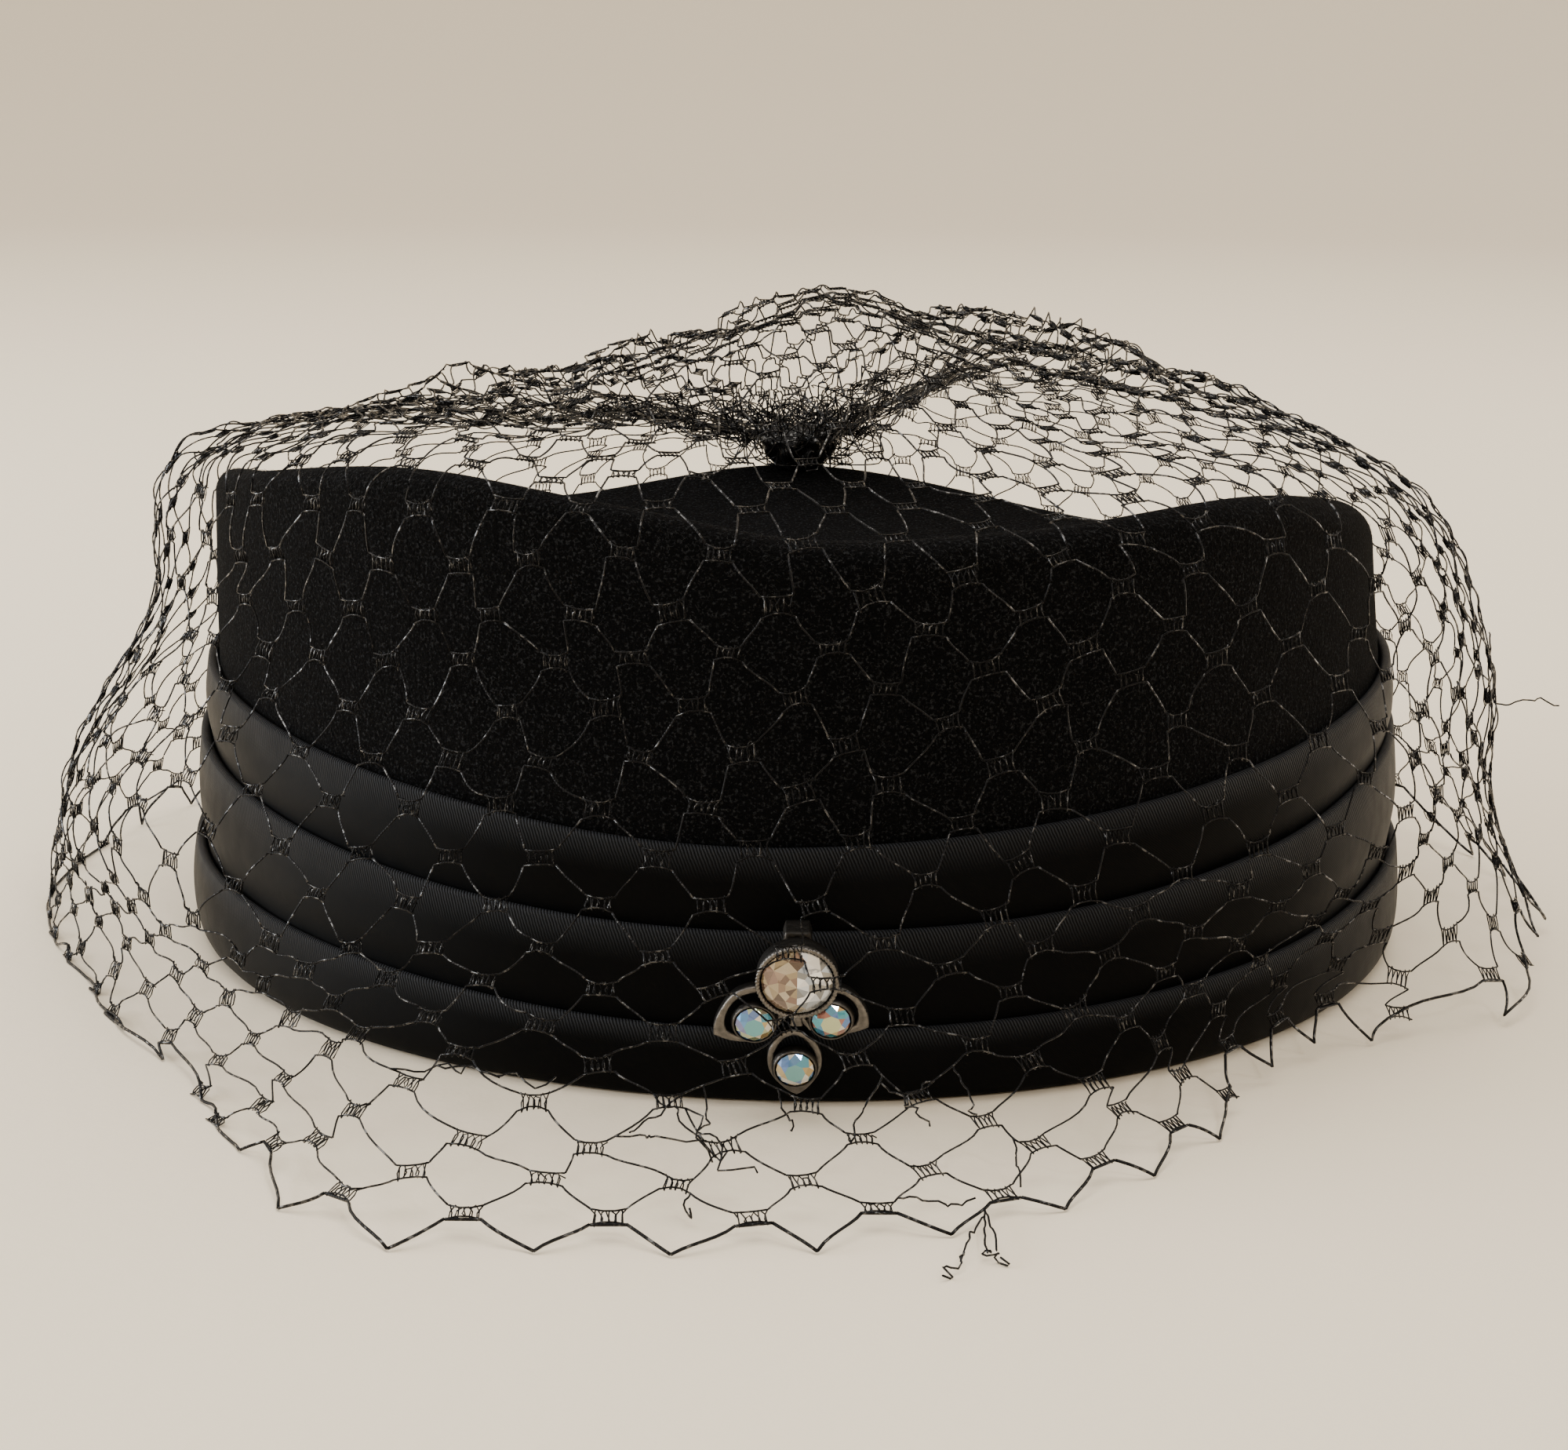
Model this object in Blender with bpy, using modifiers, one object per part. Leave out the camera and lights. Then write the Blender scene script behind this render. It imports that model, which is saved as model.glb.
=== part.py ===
"""A felt pillbox hat with three satin folds, a stone brooch and a net veil.

Metres, +Z up. The hat faces -Y and stands on its bottom edge at Z = 0, with the middle of its footprint at the
origin. An azimuth is in degrees round the hat: 0 is the front, 90 is +X, 180 is the back and -90 is -X.
"""

import math
from collections import namedtuple

import bmesh
import bpy
from mathutils import Matrix, Vector

# Felt crown, measured outside
CROWN_WIDTH = 0.1816
CROWN_DEPTH = 0.1896
CROWN_HEIGHT = 0.0735
FELT = 0.0022
TOP_EDGE_RADIUS = 0.0036
TOP_LEAN = 0.0016
DISH_HEIGHT = 0.046
DISH_STEEPNESS = 3.2
SEGMENTS = 48

# Satin folds
UPPER_FOLD_TOP = 0.034
MIDDLE_FOLD_TOP = 0.0232
LOWER_FOLD_TOP = 0.0102
SATIN = 0.0015
FOLD_LEAN = 0.0005
TUCK = 0.0055
HEM_CURL = 0.0022

# Brooch, in its own plane, from the middle of the main stone
MAIN_STONE_RADIUS = 0.0046
MAIN_STONE_HEIGHT = 0.0038
SMALL_STONE_RADIUS = 0.00245
SMALL_STONE_HEIGHT = 0.0024
CUP_WALL = 0.00055
MAIN_CUP_DEPTH = 0.0034
SMALL_CUP_DEPTH = 0.0022
STONE_GAP = 0.00012
LEAF_WIDTH = 0.00095
LEAF_DEPTH = 0.0015
MILLED_TEETH = 30
MILLED_DEPTH = 0.00018
STEM_WIDTH = 0.0013
STEM_LENGTH = 0.0035
TAB_WIDTH = 0.0037
TAB_THICKNESS = 0.0015
TAB_DEPTH = 0.0034
BROOCH_HEIGHT = 0.0205
BROOCH_FOOT = 0.0172
BROOCH_TILT = 15.0

# Net veil
VEIL_REACH = 0.054
VEIL_PUFF = 0.018
VEIL_STRAND = 0.0014
VEIL_THICKNESS = 0.0012
VEIL_CLEARANCE = 0.003
VEIL_COLUMNS = 20
GATHER_RADIUS = 0.0085
GATHER_HEIGHT = 0.0075
GATHER_WAIST = 0.62
GATHER_PLEATS = 9

SEAT_GAP = 0.0003
STONE_BACK = 0.58
# The brooch's meshes are this many times larger than life, on a holder that is as much smaller, for clean joins
BROOCH_ENLARGED = 1000

# Round the hat. rim is a share of CROWN_HEIGHT, edge of TOP_EDGE_RADIUS, lean of TOP_LEAN, upper, middle and lower
# of the heights of the three folds, and hem of VEIL_REACH.
Around = namedtuple("Around", "azimuth rim edge lean upper middle lower hem")
AROUND = (
    Around(-148, 0.728, 0.95, 0.6, 1.22, 1.28, 1.25, 0.70),
    Around(-120, 0.815, 0.90, 0.4, 1.25, 1.34, 1.36, 0.54),
    Around(-90, 0.935, 0.85, 0.2, 1.27, 1.38, 1.44, 0.55),
    Around(-64, 1.010, 0.80, 0.2, 1.22, 1.28, 1.38, 0.43),
    Around(-37, 1.082, 0.80, 0.5, 1.11, 1.11, 1.20, 0.64),
    Around(-16, 1.046, 0.90, 1.0, 1.02, 1.01, 1.04, 1.10),
    Around(0, 0.997, 1.00, 1.2, 1.00, 1.00, 1.00, 1.00),
    Around(20, 1.006, 1.05, 1.2, 1.06, 1.04, 1.07, 0.54),
    Around(44, 1.030, 1.15, 1.0, 1.17, 1.20, 1.25, 0.28),
    Around(66, 0.975, 1.50, 1.1, 1.28, 1.40, 1.50, 0.52),
    Around(90, 0.880, 1.65, 1.2, 1.34, 1.50, 1.62, 0.55),
    Around(120, 0.760, 1.30, 1.0, 1.30, 1.42, 1.45, 0.55),
    Around(142, 0.702, 1.00, 0.8, 1.24, 1.32, 1.30, 0.66),
    Around(180, 0.790, 1.00, 0.8, 1.20, 1.26, 1.20, 1.00),
)

# Down the veil, from its gather to its hem. level is a share of the crown's local height and puff of VEIL_PUFF.
# spread and shift are shares of the crown's half width and depth. front, right, rear and left are shares of
# VEIL_REACH, outward of the felt, or of VEIL_PUFF in the rows over the crown. ripple is a share of VEIL_PUFF.
Veil = namedtuple("Veil", "row level spread shift front right rear left ripple")
VEIL_TOP = (
    Veil("spray", 1.0, 0.32, 0.76, 0.66, 0.52, -0.25, 0.50, 0.10),
    Veil("dome", 1.0, 0.68, 0.42, 0.98, 0.56, -0.55, 0.24, 0.20),
)
VEIL_SKIRT = (
    Veil("edge", 1.0, 1.0, 0.0, 0.06, 0.11, 0.24, 0.06, 0.0),
    Veil("upper_wall", 0.70, 1.0, 0.0, 0.14, 0.34, 0.34, 0.22, 0.05),
    Veil("lower_wall", 0.38, 1.0, 0.0, 0.28, 0.41, 0.44, 0.38, 0.08),
)
FOOT_LEVEL = 0.13
FOOT_REACH = 0.58

FOLDS = (
    ("fold_upper", UPPER_FOLD_TOP, "upper"),
    ("fold_middle", MIDDLE_FOLD_TOP, "middle"),
    ("fold_lower", LOWER_FOLD_TOP, "lower"),
)


def around(column, azimuth):
    """The value of one column of AROUND at an azimuth, on a smooth closed curve through its rows."""
    count = len(AROUND)
    start = AROUND[0].azimuth
    azimuth = start + (azimuth - start) % 360
    after = next((i for i, row in enumerate(AROUND) if row.azimuth > azimuth), count)
    rows = []
    for step in (-2, -1, 0, 1):
        turns, index = divmod(after + step, count)
        rows.append((AROUND[index].azimuth + 360 * turns, getattr(AROUND[index], column)))
    (a0, v0), (a1, v1), (a2, v2), (a3, v3) = rows
    share = (azimuth - a1) / (a2 - a1)
    slope_in = (v2 - v0) / (a2 - a0) * (a2 - a1)
    slope_out = (v3 - v1) / (a3 - a1) * (a2 - a1)
    bend = 2 * (v1 - v2) + slope_in + slope_out
    sweep = 3 * (v2 - v1) - 2 * slope_in - slope_out
    return ((bend * share + sweep) * share + slope_in) * share + v1


def four_ways(row, azimuth):
    """The smooth value at an azimuth of a row that names its values at the front, right, rear and left."""
    turn = math.radians(azimuth)
    mean = (row.front + row.right + row.rear + row.left) / 4
    oval = (row.front + row.rear - row.right - row.left) / 4
    return (
        mean
        + (row.front - row.rear) / 2 * math.cos(turn)
        + (row.right - row.left) / 2 * math.sin(turn)
        + oval * math.cos(2 * turn)
    )


def oval_point(azimuth, offset, height, spread=1.0, shift=0.0):
    """A point outward of the crown's oval by offset, at a height. spread shrinks the oval and shift moves it back."""
    half_width, half_depth = CROWN_WIDTH / 2 * spread, CROWN_DEPTH / 2 * spread
    turn = math.radians(azimuth)
    outward = Vector((math.sin(turn) / half_width, -math.cos(turn) / half_depth)).normalized()
    x = half_width * math.sin(turn) + outward.x * offset
    y = -half_depth * math.cos(turn) + outward.y * offset + shift * CROWN_DEPTH / 2
    return Vector((x, y, height))


def rim_height(azimuth):
    return CROWN_HEIGHT * around("rim", azimuth)


def new_material(name, colour, roughness, metallic=0.0):
    material = bpy.data.materials.new(name)
    material.use_nodes = True
    shader = material.node_tree.nodes["Principled BSDF"]
    shader.inputs["Base Color"].default_value = (*colour, 1.0)
    shader.inputs["Roughness"].default_value = roughness
    shader.inputs["Metallic"].default_value = metallic
    return material


def add_object(name, mesh, material, collection, parent=None):
    obj = bpy.data.objects.new(name, mesh)
    mesh.materials.clear()
    mesh.materials.append(material)
    collection.objects.link(obj)
    obj.parent = parent
    return obj


def mesh_of(name, points, faces):
    mesh = bpy.data.meshes.new(name)
    mesh.from_pydata([tuple(point) for point in points], [], faces)
    mesh.update()
    return mesh


def azimuths(count=SEGMENTS):
    return [360 * index / count for index in range(count)]


def ring_faces(sections, size, closed):
    """Quads between neighbouring sections of size points each. closed joins a section's last point to its first."""
    faces = []
    for section in range(sections):
        after = (section + 1) % sections
        for point in range(size if closed else size - 1):
            above = (point + 1) % size
            faces.append((section * size + point, after * size + point, after * size + above, section * size + above))
    return faces


def crown_section(azimuth):
    """The crown's outer skin at an azimuth, from the bottom edge over the top edge down into the dish."""
    rim = rim_height(azimuth)
    radius = TOP_EDGE_RADIUS * around("edge", azimuth)
    lean = TOP_LEAN * around("lean", azimuth)
    centre = Vector((0, 0, DISH_HEIGHT))
    fold_top = UPPER_FOLD_TOP * around("upper", azimuth)
    wall_top = rim - radius
    skin = [
        oval_point(azimuth, 0, 0),
        oval_point(azimuth, 0, fold_top),
        oval_point(azimuth, -lean * 0.45, (fold_top + wall_top) / 2),
        oval_point(azimuth, -lean, wall_top),
    ]
    reach = (oval_point(azimuth, -lean - radius, 0)).length
    slope = DISH_STEEPNESS * (rim - DISH_HEIGHT) / reach
    last_angle = math.pi / 2 + math.atan(max(slope, 0.0))
    steps = 6
    for step in range(1, steps + 1):
        angle = last_angle * step / steps
        skin.append(
            oval_point(azimuth, -lean - radius * (1 - math.cos(angle)), wall_top + radius * math.sin(angle))
        )
    inner = skin[-1]
    for share in (0.93, 0.82, 0.66, 0.45, 0.22):
        point = inner * share
        point.z = centre.z + (inner.z - centre.z) * share**DISH_STEEPNESS
        skin.append(point)
    return skin


def build_crown(material, collection, parent):
    sections = [crown_section(azimuth) for azimuth in azimuths()]
    size = len(sections[0])
    points = [point for section in sections for point in section]
    faces = ring_faces(len(sections), size, closed=False)
    points.append(Vector((0, 0, DISH_HEIGHT)))
    for section in range(len(sections)):
        after = (section + 1) % len(sections)
        faces.append((section * size + size - 1, after * size + size - 1, len(points) - 1))
    crown = add_object("crown", mesh_of("crown", points, faces), material, collection, parent)
    wall = crown.modifiers.new("Felt wall", "SOLIDIFY")
    wall.thickness = FELT
    wall.offset = -1
    wall.use_even_offset = True
    crown.data.shade_smooth()
    return crown


def fold_levels(index, azimuth):
    """The bottom and top heights of a fold. Each but the lowest runs down behind the next one's top edge."""
    tops = [height * around(column, azimuth) for _, height, column in FOLDS]
    bottom = tops[index + 1] - TUCK if index + 1 < len(FOLDS) else SEAT_GAP
    return bottom, tops[index]


def fold_offsets(index):
    """How far outward of the felt a fold's tucked edge starts, its rolled edge ends and its bottom lies."""
    inside = SEAT_GAP
    for _ in range(index):
        inside += SATIN - FOLD_LEAN + SEAT_GAP
    outside = inside + SATIN
    return inside, outside, outside - FOLD_LEAN


def fold_section(index, azimuth):
    """A fold's outline at an azimuth: out along its bottom, up its face, over the rolled edge and down its back."""
    bottom, top = fold_levels(index, azimuth)
    inside, outside, low_outside = fold_offsets(index)
    roll = SATIN / 2
    lowest = index + 1 == len(FOLDS)
    if lowest:
        face = [
            (low_outside - HEM_CURL * 0.6, bottom),
            (low_outside - HEM_CURL * 0.1, bottom + HEM_CURL * 0.4),
            (outside, bottom + HEM_CURL * 1.5),
        ]
    else:
        face = [
            (low_outside, bottom),
            (low_outside, bottom + TUCK),
            (outside - FOLD_LEAN * 0.15, bottom + TUCK + (top - roll - bottom - TUCK) * 0.55),
        ]
    edge = []
    for angle in (0, 45, 90, 135, 180):
        turn = math.radians(angle)
        edge.append((inside + roll + roll * math.cos(turn), top - roll + roll * math.sin(turn)))
    ledge = top - TUCK - SEAT_GAP
    if index:
        back = [(inside, ledge), (SEAT_GAP, ledge - SEAT_GAP), (SEAT_GAP, bottom)]
    else:
        back = [(inside, (bottom + top) / 2), (inside, bottom)]
    return [oval_point(azimuth, offset, height) for offset, height in face + edge + back]


def build_fold(index, material, collection, parent):
    name = FOLDS[index][0]
    sections = [fold_section(index, azimuth) for azimuth in azimuths()]
    points = [point for section in sections for point in section]
    faces = ring_faces(len(sections), len(sections[0]), closed=True)
    fold = add_object(name, mesh_of(name, points, faces), material, collection, parent)
    fold.data.shade_smooth()
    return fold


def gem_mesh(name, radius, height, sides):
    """A round cut stone that faces -Y: a table, two rows of crown facets, a girdle and a pointed back."""
    crown = height * (1 - STONE_BACK)
    rings = (
        (0.54, -crown, 0.0),
        (0.80, -crown * 0.62, 0.5),
        (1.0, -crown * 0.14, 0.0),
        (1.0, -crown * 0.14, 0.5),
        (1.0, 0.0, 0.0),
        (1.0, 0.0, 0.5),
        (0.45, (height - crown) * 0.62, 0.0),
    )
    mesh = bmesh.new()
    for share, depth, twist in rings:
        for side in range(sides):
            turn = 2 * math.pi * (side + twist) / sides
            mesh.verts.new((radius * share * math.sin(turn), depth, radius * share * math.cos(turn)))
    mesh.verts.new((0, height - crown, 0))
    bmesh.ops.convex_hull(mesh, input=list(mesh.verts))
    bmesh.ops.dissolve_limit(mesh, angle_limit=math.radians(1), verts=list(mesh.verts), edges=list(mesh.edges))
    bmesh.ops.recalc_face_normals(mesh, faces=list(mesh.faces))
    made = bpy.data.meshes.new(name)
    mesh.to_mesh(made)
    mesh.free()
    return made


def cylinder_mesh(name, radius, front, back, sides):
    """A closed cylinder along Y from front to back."""
    mesh = bmesh.new()
    bmesh.ops.create_cone(mesh, cap_ends=True, segments=sides, radius1=radius, radius2=radius, depth=back - front)
    for vert in mesh.verts:
        x, y, z = vert.co
        vert.co = (x, (front + back) / 2 + z, -y)
    bmesh.ops.recalc_face_normals(mesh, faces=list(mesh.faces))
    made = bpy.data.meshes.new(name)
    mesh.to_mesh(made)
    mesh.free()
    return made


def plate_mesh(name, outlines, front, back):
    """A flat plate in the brooch's plane from outlines of (x, z) points, where an inner outline is a hole."""
    curve = bpy.data.curves.new(name, "CURVE")
    curve.dimensions = "2D"
    curve.fill_mode = "BOTH"
    curve.extrude = (back - front) / 2
    for outline in outlines:
        spline = curve.splines.new("POLY")
        spline.points.add(len(outline) - 1)
        for point, (x, z) in zip(spline.points, outline):
            point.co = (x, z, 0, 1)
        spline.use_cyclic_u = True
    holder = bpy.data.objects.new(name, curve)
    bpy.context.scene.collection.objects.link(holder)
    graph = bpy.context.evaluated_depsgraph_get()
    made = bpy.data.meshes.new_from_object(holder.evaluated_get(graph))
    bpy.data.objects.remove(holder)
    bpy.data.curves.remove(curve)
    mesh = bmesh.new()
    mesh.from_mesh(made)
    bmesh.ops.remove_doubles(mesh, verts=list(mesh.verts), dist=1e-6)
    for vert in mesh.verts:
        x, z, depth = vert.co
        vert.co = (x, (front + back) / 2 + depth, z)
    bmesh.ops.recalc_face_normals(mesh, faces=list(mesh.faces))
    mesh.to_mesh(made)
    mesh.free()
    return made


# The brooch's leaves, each open round its small stone at x and z. x and z are shares of MAIN_STONE_RADIUS. heading
# is the direction of the leaf's tip, in degrees from +X towards +Z. tip and the reaches at 45 to 315 degrees
# further round from it are shares of SMALL_STONE_RADIUS.
Leaf = namedtuple("Leaf", "name x z heading tip r45 r90 r135 r180 r225 r270 r315")
LEAVES = (
    Leaf("left", -1.17, -1.57, 202, 2.33, 1.42, 1.12, 1.27, 1.63, 2.12, 2.04, 1.90),
    Leaf("right", 0.96, -1.43, 344, 2.08, 1.84, 1.92, 1.88, 1.22, 1.10, 1.06, 1.18),
    Leaf("lower", -0.02, -3.07, 274, 1.80, 1.36, 1.42, 1.78, 2.33, 1.78, 1.42, 1.36),
)


def leaf_outline(leaf, inset):
    """A leaf's outline round its stone, smooth but for its tip, drawn in by inset and by twice that at the tip."""
    unit = SMALL_STONE_RADIUS
    reaches = [leaf.tip * unit - inset * 2]
    reaches += [reach * unit - inset for reach in leaf[5:]]
    reaches.append(reaches[0])
    outline = []
    per_side = 4
    for side in range(len(reaches) - 1):
        r1, r2 = reaches[side], reaches[side + 1]
        r0 = reaches[side - 1] if side else 2 * r1 - r2
        r3 = reaches[side + 2] if side + 2 < len(reaches) else 2 * r2 - r1
        for step in range(per_side):
            share = step / per_side
            slope_in, slope_out = (r2 - r0) / 2, (r3 - r1) / 2
            bend = 2 * (r1 - r2) + slope_in + slope_out
            sweep = 3 * (r2 - r1) - 2 * slope_in - slope_out
            reach = ((bend * share + sweep) * share + slope_in) * share + r1
            turn = math.radians(leaf.heading + 45 * (side + share))
            outline.append((reach * math.cos(turn), reach * math.sin(turn)))
    return outline


def milled_outline(radius):
    """A round outline with small teeth, as on a milled bezel."""
    outline = []
    for tooth in range(2 * MILLED_TEETH):
        turn = math.pi * tooth / MILLED_TEETH
        reach = radius + (MILLED_DEPTH if tooth % 2 else 0.0)
        outline.append((reach * math.sin(turn), reach * math.cos(turn)))
    return outline


def box_outline(left, right, low, high):
    return [(left, low), (right, low), (right, high), (left, high)]


def moved(mesh, x, z):
    for vert in mesh.vertices:
        vert.co.x += x
        vert.co.z += z
    return mesh


def brooch_object(name, mesh, material, collection, holder):
    mesh.transform(Matrix.Scale(BROOCH_ENLARGED, 4))
    return add_object(name, mesh, material, collection, holder)


def boolean(target, mesh, name, operation, helpers, material):
    """Joins a mesh to the target, or cuts it out, by a hidden helper that stands in the target's place."""
    helper = brooch_object(name, mesh, material, helpers, target.parent)
    helper.hide_render = True
    helper.display_type = "WIRE"
    change = target.modifiers.new(name, "BOOLEAN")
    change.operation = operation
    change.solver = "EXACT"
    change.object = helper


def build_brooch_holder(collection, parent):
    """The brooch's plane, with its foot against the lower fold and its top tilted forward."""
    outside = fold_offsets(2)[1]
    tilt = math.radians(BROOCH_TILT)
    stand_off = BROOCH_FOOT * math.tan(tilt) + SEAT_GAP * 2
    holder = bpy.data.objects.new("brooch", None)
    collection.objects.link(holder)
    holder.parent = parent
    holder.location = oval_point(0, outside + stand_off, BROOCH_HEIGHT)
    holder.rotation_euler = (tilt, 0, 0)
    holder.scale = (1 / BROOCH_ENLARGED, 1 / BROOCH_ENLARGED, 1 / BROOCH_ENLARGED)
    return holder


def build_setting(material, collection, helpers, holder):
    """The soldered setting: a milled main cup, three small cups in open leaves, a stem and a tab at the back."""
    unit = MAIN_STONE_RADIUS
    cup_radius = MAIN_STONE_RADIUS + STONE_GAP + CUP_WALL
    small_radius = SMALL_STONE_RADIUS + STONE_GAP + CUP_WALL
    cup = cylinder_mesh("brooch_setting", cup_radius, -MAIN_CUP_DEPTH, 0, 32)
    setting = brooch_object("brooch_setting", cup, material, collection, holder)
    tab_top = cup_radius + CUP_WALL * 0.4
    tab = box_outline(-TAB_WIDTH / 2, TAB_WIDTH / 2, tab_top - TAB_THICKNESS, tab_top)
    joined = [("tab", plate_mesh("tab", [tab], -CUP_WALL, TAB_DEPTH))]
    rim_front = -MAIN_CUP_DEPTH - CUP_WALL * 0.3
    joined.append(("rim", plate_mesh("rim", [milled_outline(cup_radius * 1.01)], rim_front, rim_front + CUP_WALL)))
    for leaf in LEAVES:
        x, z = leaf.x * unit, leaf.z * unit
        outlines = [leaf_outline(leaf, inset) for inset in (0.0, LEAF_WIDTH)]
        frame = plate_mesh("frame_" + leaf.name, outlines, -LEAF_DEPTH, -CUP_WALL * 0.1)
        small_cup = cylinder_mesh("cup_" + leaf.name, small_radius, -SMALL_CUP_DEPTH, -CUP_WALL * 0.2, 18)
        joined.append(("frame_" + leaf.name, moved(frame, x, z)))
        joined.append(("cup_" + leaf.name, moved(small_cup, x, z)))
    stem = box_outline(-STEM_WIDTH / 2, STEM_WIDTH / 2, -cup_radius - STEM_LENGTH, -cup_radius + CUP_WALL)
    joined.append(("stem", plate_mesh("stem", [stem], -LEAF_DEPTH * 0.8, -CUP_WALL * 0.3)))
    for name, mesh in joined:
        boolean(setting, mesh, name, "UNION", helpers, material)
    for name, x, z, radius, height, cup_depth, _ in stone_sizes():
        back = stone_depth(height, cup_depth) + height * STONE_BACK + STONE_GAP
        seat = cylinder_mesh("seat_" + name, radius + STONE_GAP, -cup_depth * 2, back, 36 if name == "main" else 18)
        boolean(setting, moved(seat, x, z), "seat_" + name, "DIFFERENCE", helpers, material)


def stone_sizes():
    """Each stone's name, x and z, radius, height, cup depth and count of facets round its table."""
    unit = MAIN_STONE_RADIUS
    rows = [("main", 0.0, 0.0, MAIN_STONE_RADIUS, MAIN_STONE_HEIGHT, MAIN_CUP_DEPTH, 10)]
    for leaf in LEAVES:
        x, z = leaf.x * unit, leaf.z * unit
        rows.append((leaf.name, x, z, SMALL_STONE_RADIUS, SMALL_STONE_HEIGHT, SMALL_CUP_DEPTH, 8))
    return rows


def stone_depth(height, cup_depth):
    """How deep a stone's girdle lies in the brooch's plane, just inside its cup's mouth."""
    return height * 0.08 - cup_depth


def build_stones(materials, collection, holder):
    for name, x, z, radius, height, cup_depth, sides in stone_sizes():
        mesh = gem_mesh("stone_" + name, radius, height, sides)
        for vert in mesh.vertices:
            vert.co += Vector((x, stone_depth(height, cup_depth), z))
        finish = "clear_stone" if name == "main" else "rainbow_stone"
        brooch_object("stone_" + name, mesh, materials[finish], collection, holder)


def gather_place():
    """The bottom middle of the veil's gather, on the crown's top edge at the back."""
    radius = TOP_EDGE_RADIUS * around("edge", 180)
    lean = TOP_LEAN * around("lean", 180)
    return oval_point(180, -lean - radius, rim_height(180) + SEAT_GAP)


def build_gather(material, collection, parent):
    """The bunched and sewn net at the veil's gather: a squat pleated knot with a neck."""
    place = gather_place()
    profile = ((0.22, 0.0), (0.55, 0.12), (0.92, 0.40), (1.0, GATHER_WAIST), (0.80, 0.86), (0.50, 1.0))
    count = GATHER_PLEATS * 2
    points, faces = [], []
    for step in range(count):
        pleat = 1.0 if step % 2 else 0.80
        turn = 2 * math.pi * step / count
        for share, level in profile:
            reach = GATHER_RADIUS * share * pleat
            points.append(
                place + Vector((reach * math.sin(turn), -reach * math.cos(turn), GATHER_HEIGHT * level))
            )
    size = len(profile)
    faces += ring_faces(count, size, closed=False)
    faces.append(tuple(range(0, count * size, size))[::-1])
    faces.append(tuple(range(size - 1, count * size, size)))
    gather = add_object("veil_gather", mesh_of("veil_gather", points, faces), material, collection, parent)
    return gather


def ripple(azimuth):
    """The veil's soft folds round the hat, from -1 to 1."""
    turn = math.radians(azimuth)
    return 0.5 * math.sin(5 * turn + 0.7) + 0.3 * math.sin(7 * turn + 2.1) + 0.2 * math.sin(3 * turn + 4.0)


def veil_ring(azimuth):
    """The veil's points at an azimuth, one for each row of the net from the gather to the hem."""
    turn = math.radians(azimuth)
    place = gather_place()
    neck = GATHER_RADIUS + VEIL_THICKNESS / 2 + SEAT_GAP
    points = [place + Vector((neck * math.sin(turn), -neck * math.cos(turn), GATHER_HEIGHT * GATHER_WAIST))]
    for row in VEIL_TOP:
        lift = CROWN_HEIGHT * row.level + VEIL_PUFF * (four_ways(row, azimuth) + row.ripple * ripple(azimuth))
        points.append(oval_point(azimuth, 0, lift, row.spread, row.shift))
    folds_outside = fold_offsets(2)[1]
    for row in VEIL_SKIRT:
        lift = VEIL_CLEARANCE if row.row == "edge" else 0.0
        least = VEIL_CLEARANCE if row.row != "lower_wall" else folds_outside + VEIL_CLEARANCE
        outward = VEIL_REACH * four_ways(row, azimuth) + VEIL_PUFF * row.ripple * ripple(azimuth)
        points.append(oval_point(azimuth, max(outward, least), rim_height(azimuth) * row.level + lift))
    hem = VEIL_REACH * around("hem", azimuth)
    foot = max(hem * FOOT_REACH, folds_outside + VEIL_CLEARANCE)
    points.append(oval_point(azimuth, foot, rim_height(azimuth) * FOOT_LEVEL))
    points.append(oval_point(azimuth, max(hem, foot), VEIL_THICKNESS / 2 + SEAT_GAP))
    return points


def build_veil(material, collection, parent):
    """The net as a lattice of diamond gaps, each row half a gap round from the one above, cut in a thin shell."""
    rows = len(veil_ring(0))
    step = 360 / VEIL_COLUMNS
    lattice = bmesh.new()
    verts = []
    for row in range(rows):
        for column in range(VEIL_COLUMNS):
            verts.append(lattice.verts.new(veil_ring((column + row % 2 / 2) * step)[row]))
    for row in range(1, rows - 1):
        for column in range(VEIL_COLUMNS):
            after = (column + 1) % VEIL_COLUMNS
            between = (column + row % 2) % VEIL_COLUMNS
            left, right = verts[row * VEIL_COLUMNS + column], verts[row * VEIL_COLUMNS + after]
            low, high = verts[(row + 1) * VEIL_COLUMNS + between], verts[(row - 1) * VEIL_COLUMNS + between]
            lattice.faces.new((left, low, right, high))
    lattice.normal_update()
    gaps = list(lattice.faces)
    bmesh.ops.inset_individual(lattice, faces=gaps, thickness=VEIL_STRAND / 2, use_even_offset=True)
    bmesh.ops.delete(lattice, geom=gaps, context="FACES")
    mesh = bpy.data.meshes.new("veil")
    lattice.to_mesh(mesh)
    lattice.free()
    veil = add_object("veil", mesh, material, collection, parent)
    strands = veil.modifiers.new("Strands", "SOLIDIFY")
    strands.thickness = VEIL_THICKNESS
    strands.offset = 0
    return veil


def stand_on_middle(root, collection):
    """Moves the hat so that the middle of its footprint is at the origin."""
    bpy.context.view_layer.update()
    graph = bpy.context.evaluated_depsgraph_get()
    corners = []
    for obj in collection.objects:
        if obj.type == "MESH":
            shown = obj.evaluated_get(graph)
            corners += [shown.matrix_world @ Vector(corner) for corner in shown.bound_box]
    root.location.x = -(min(c.x for c in corners) + max(c.x for c in corners)) / 2
    root.location.y = -(min(c.y for c in corners) + max(c.y for c in corners)) / 2


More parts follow.
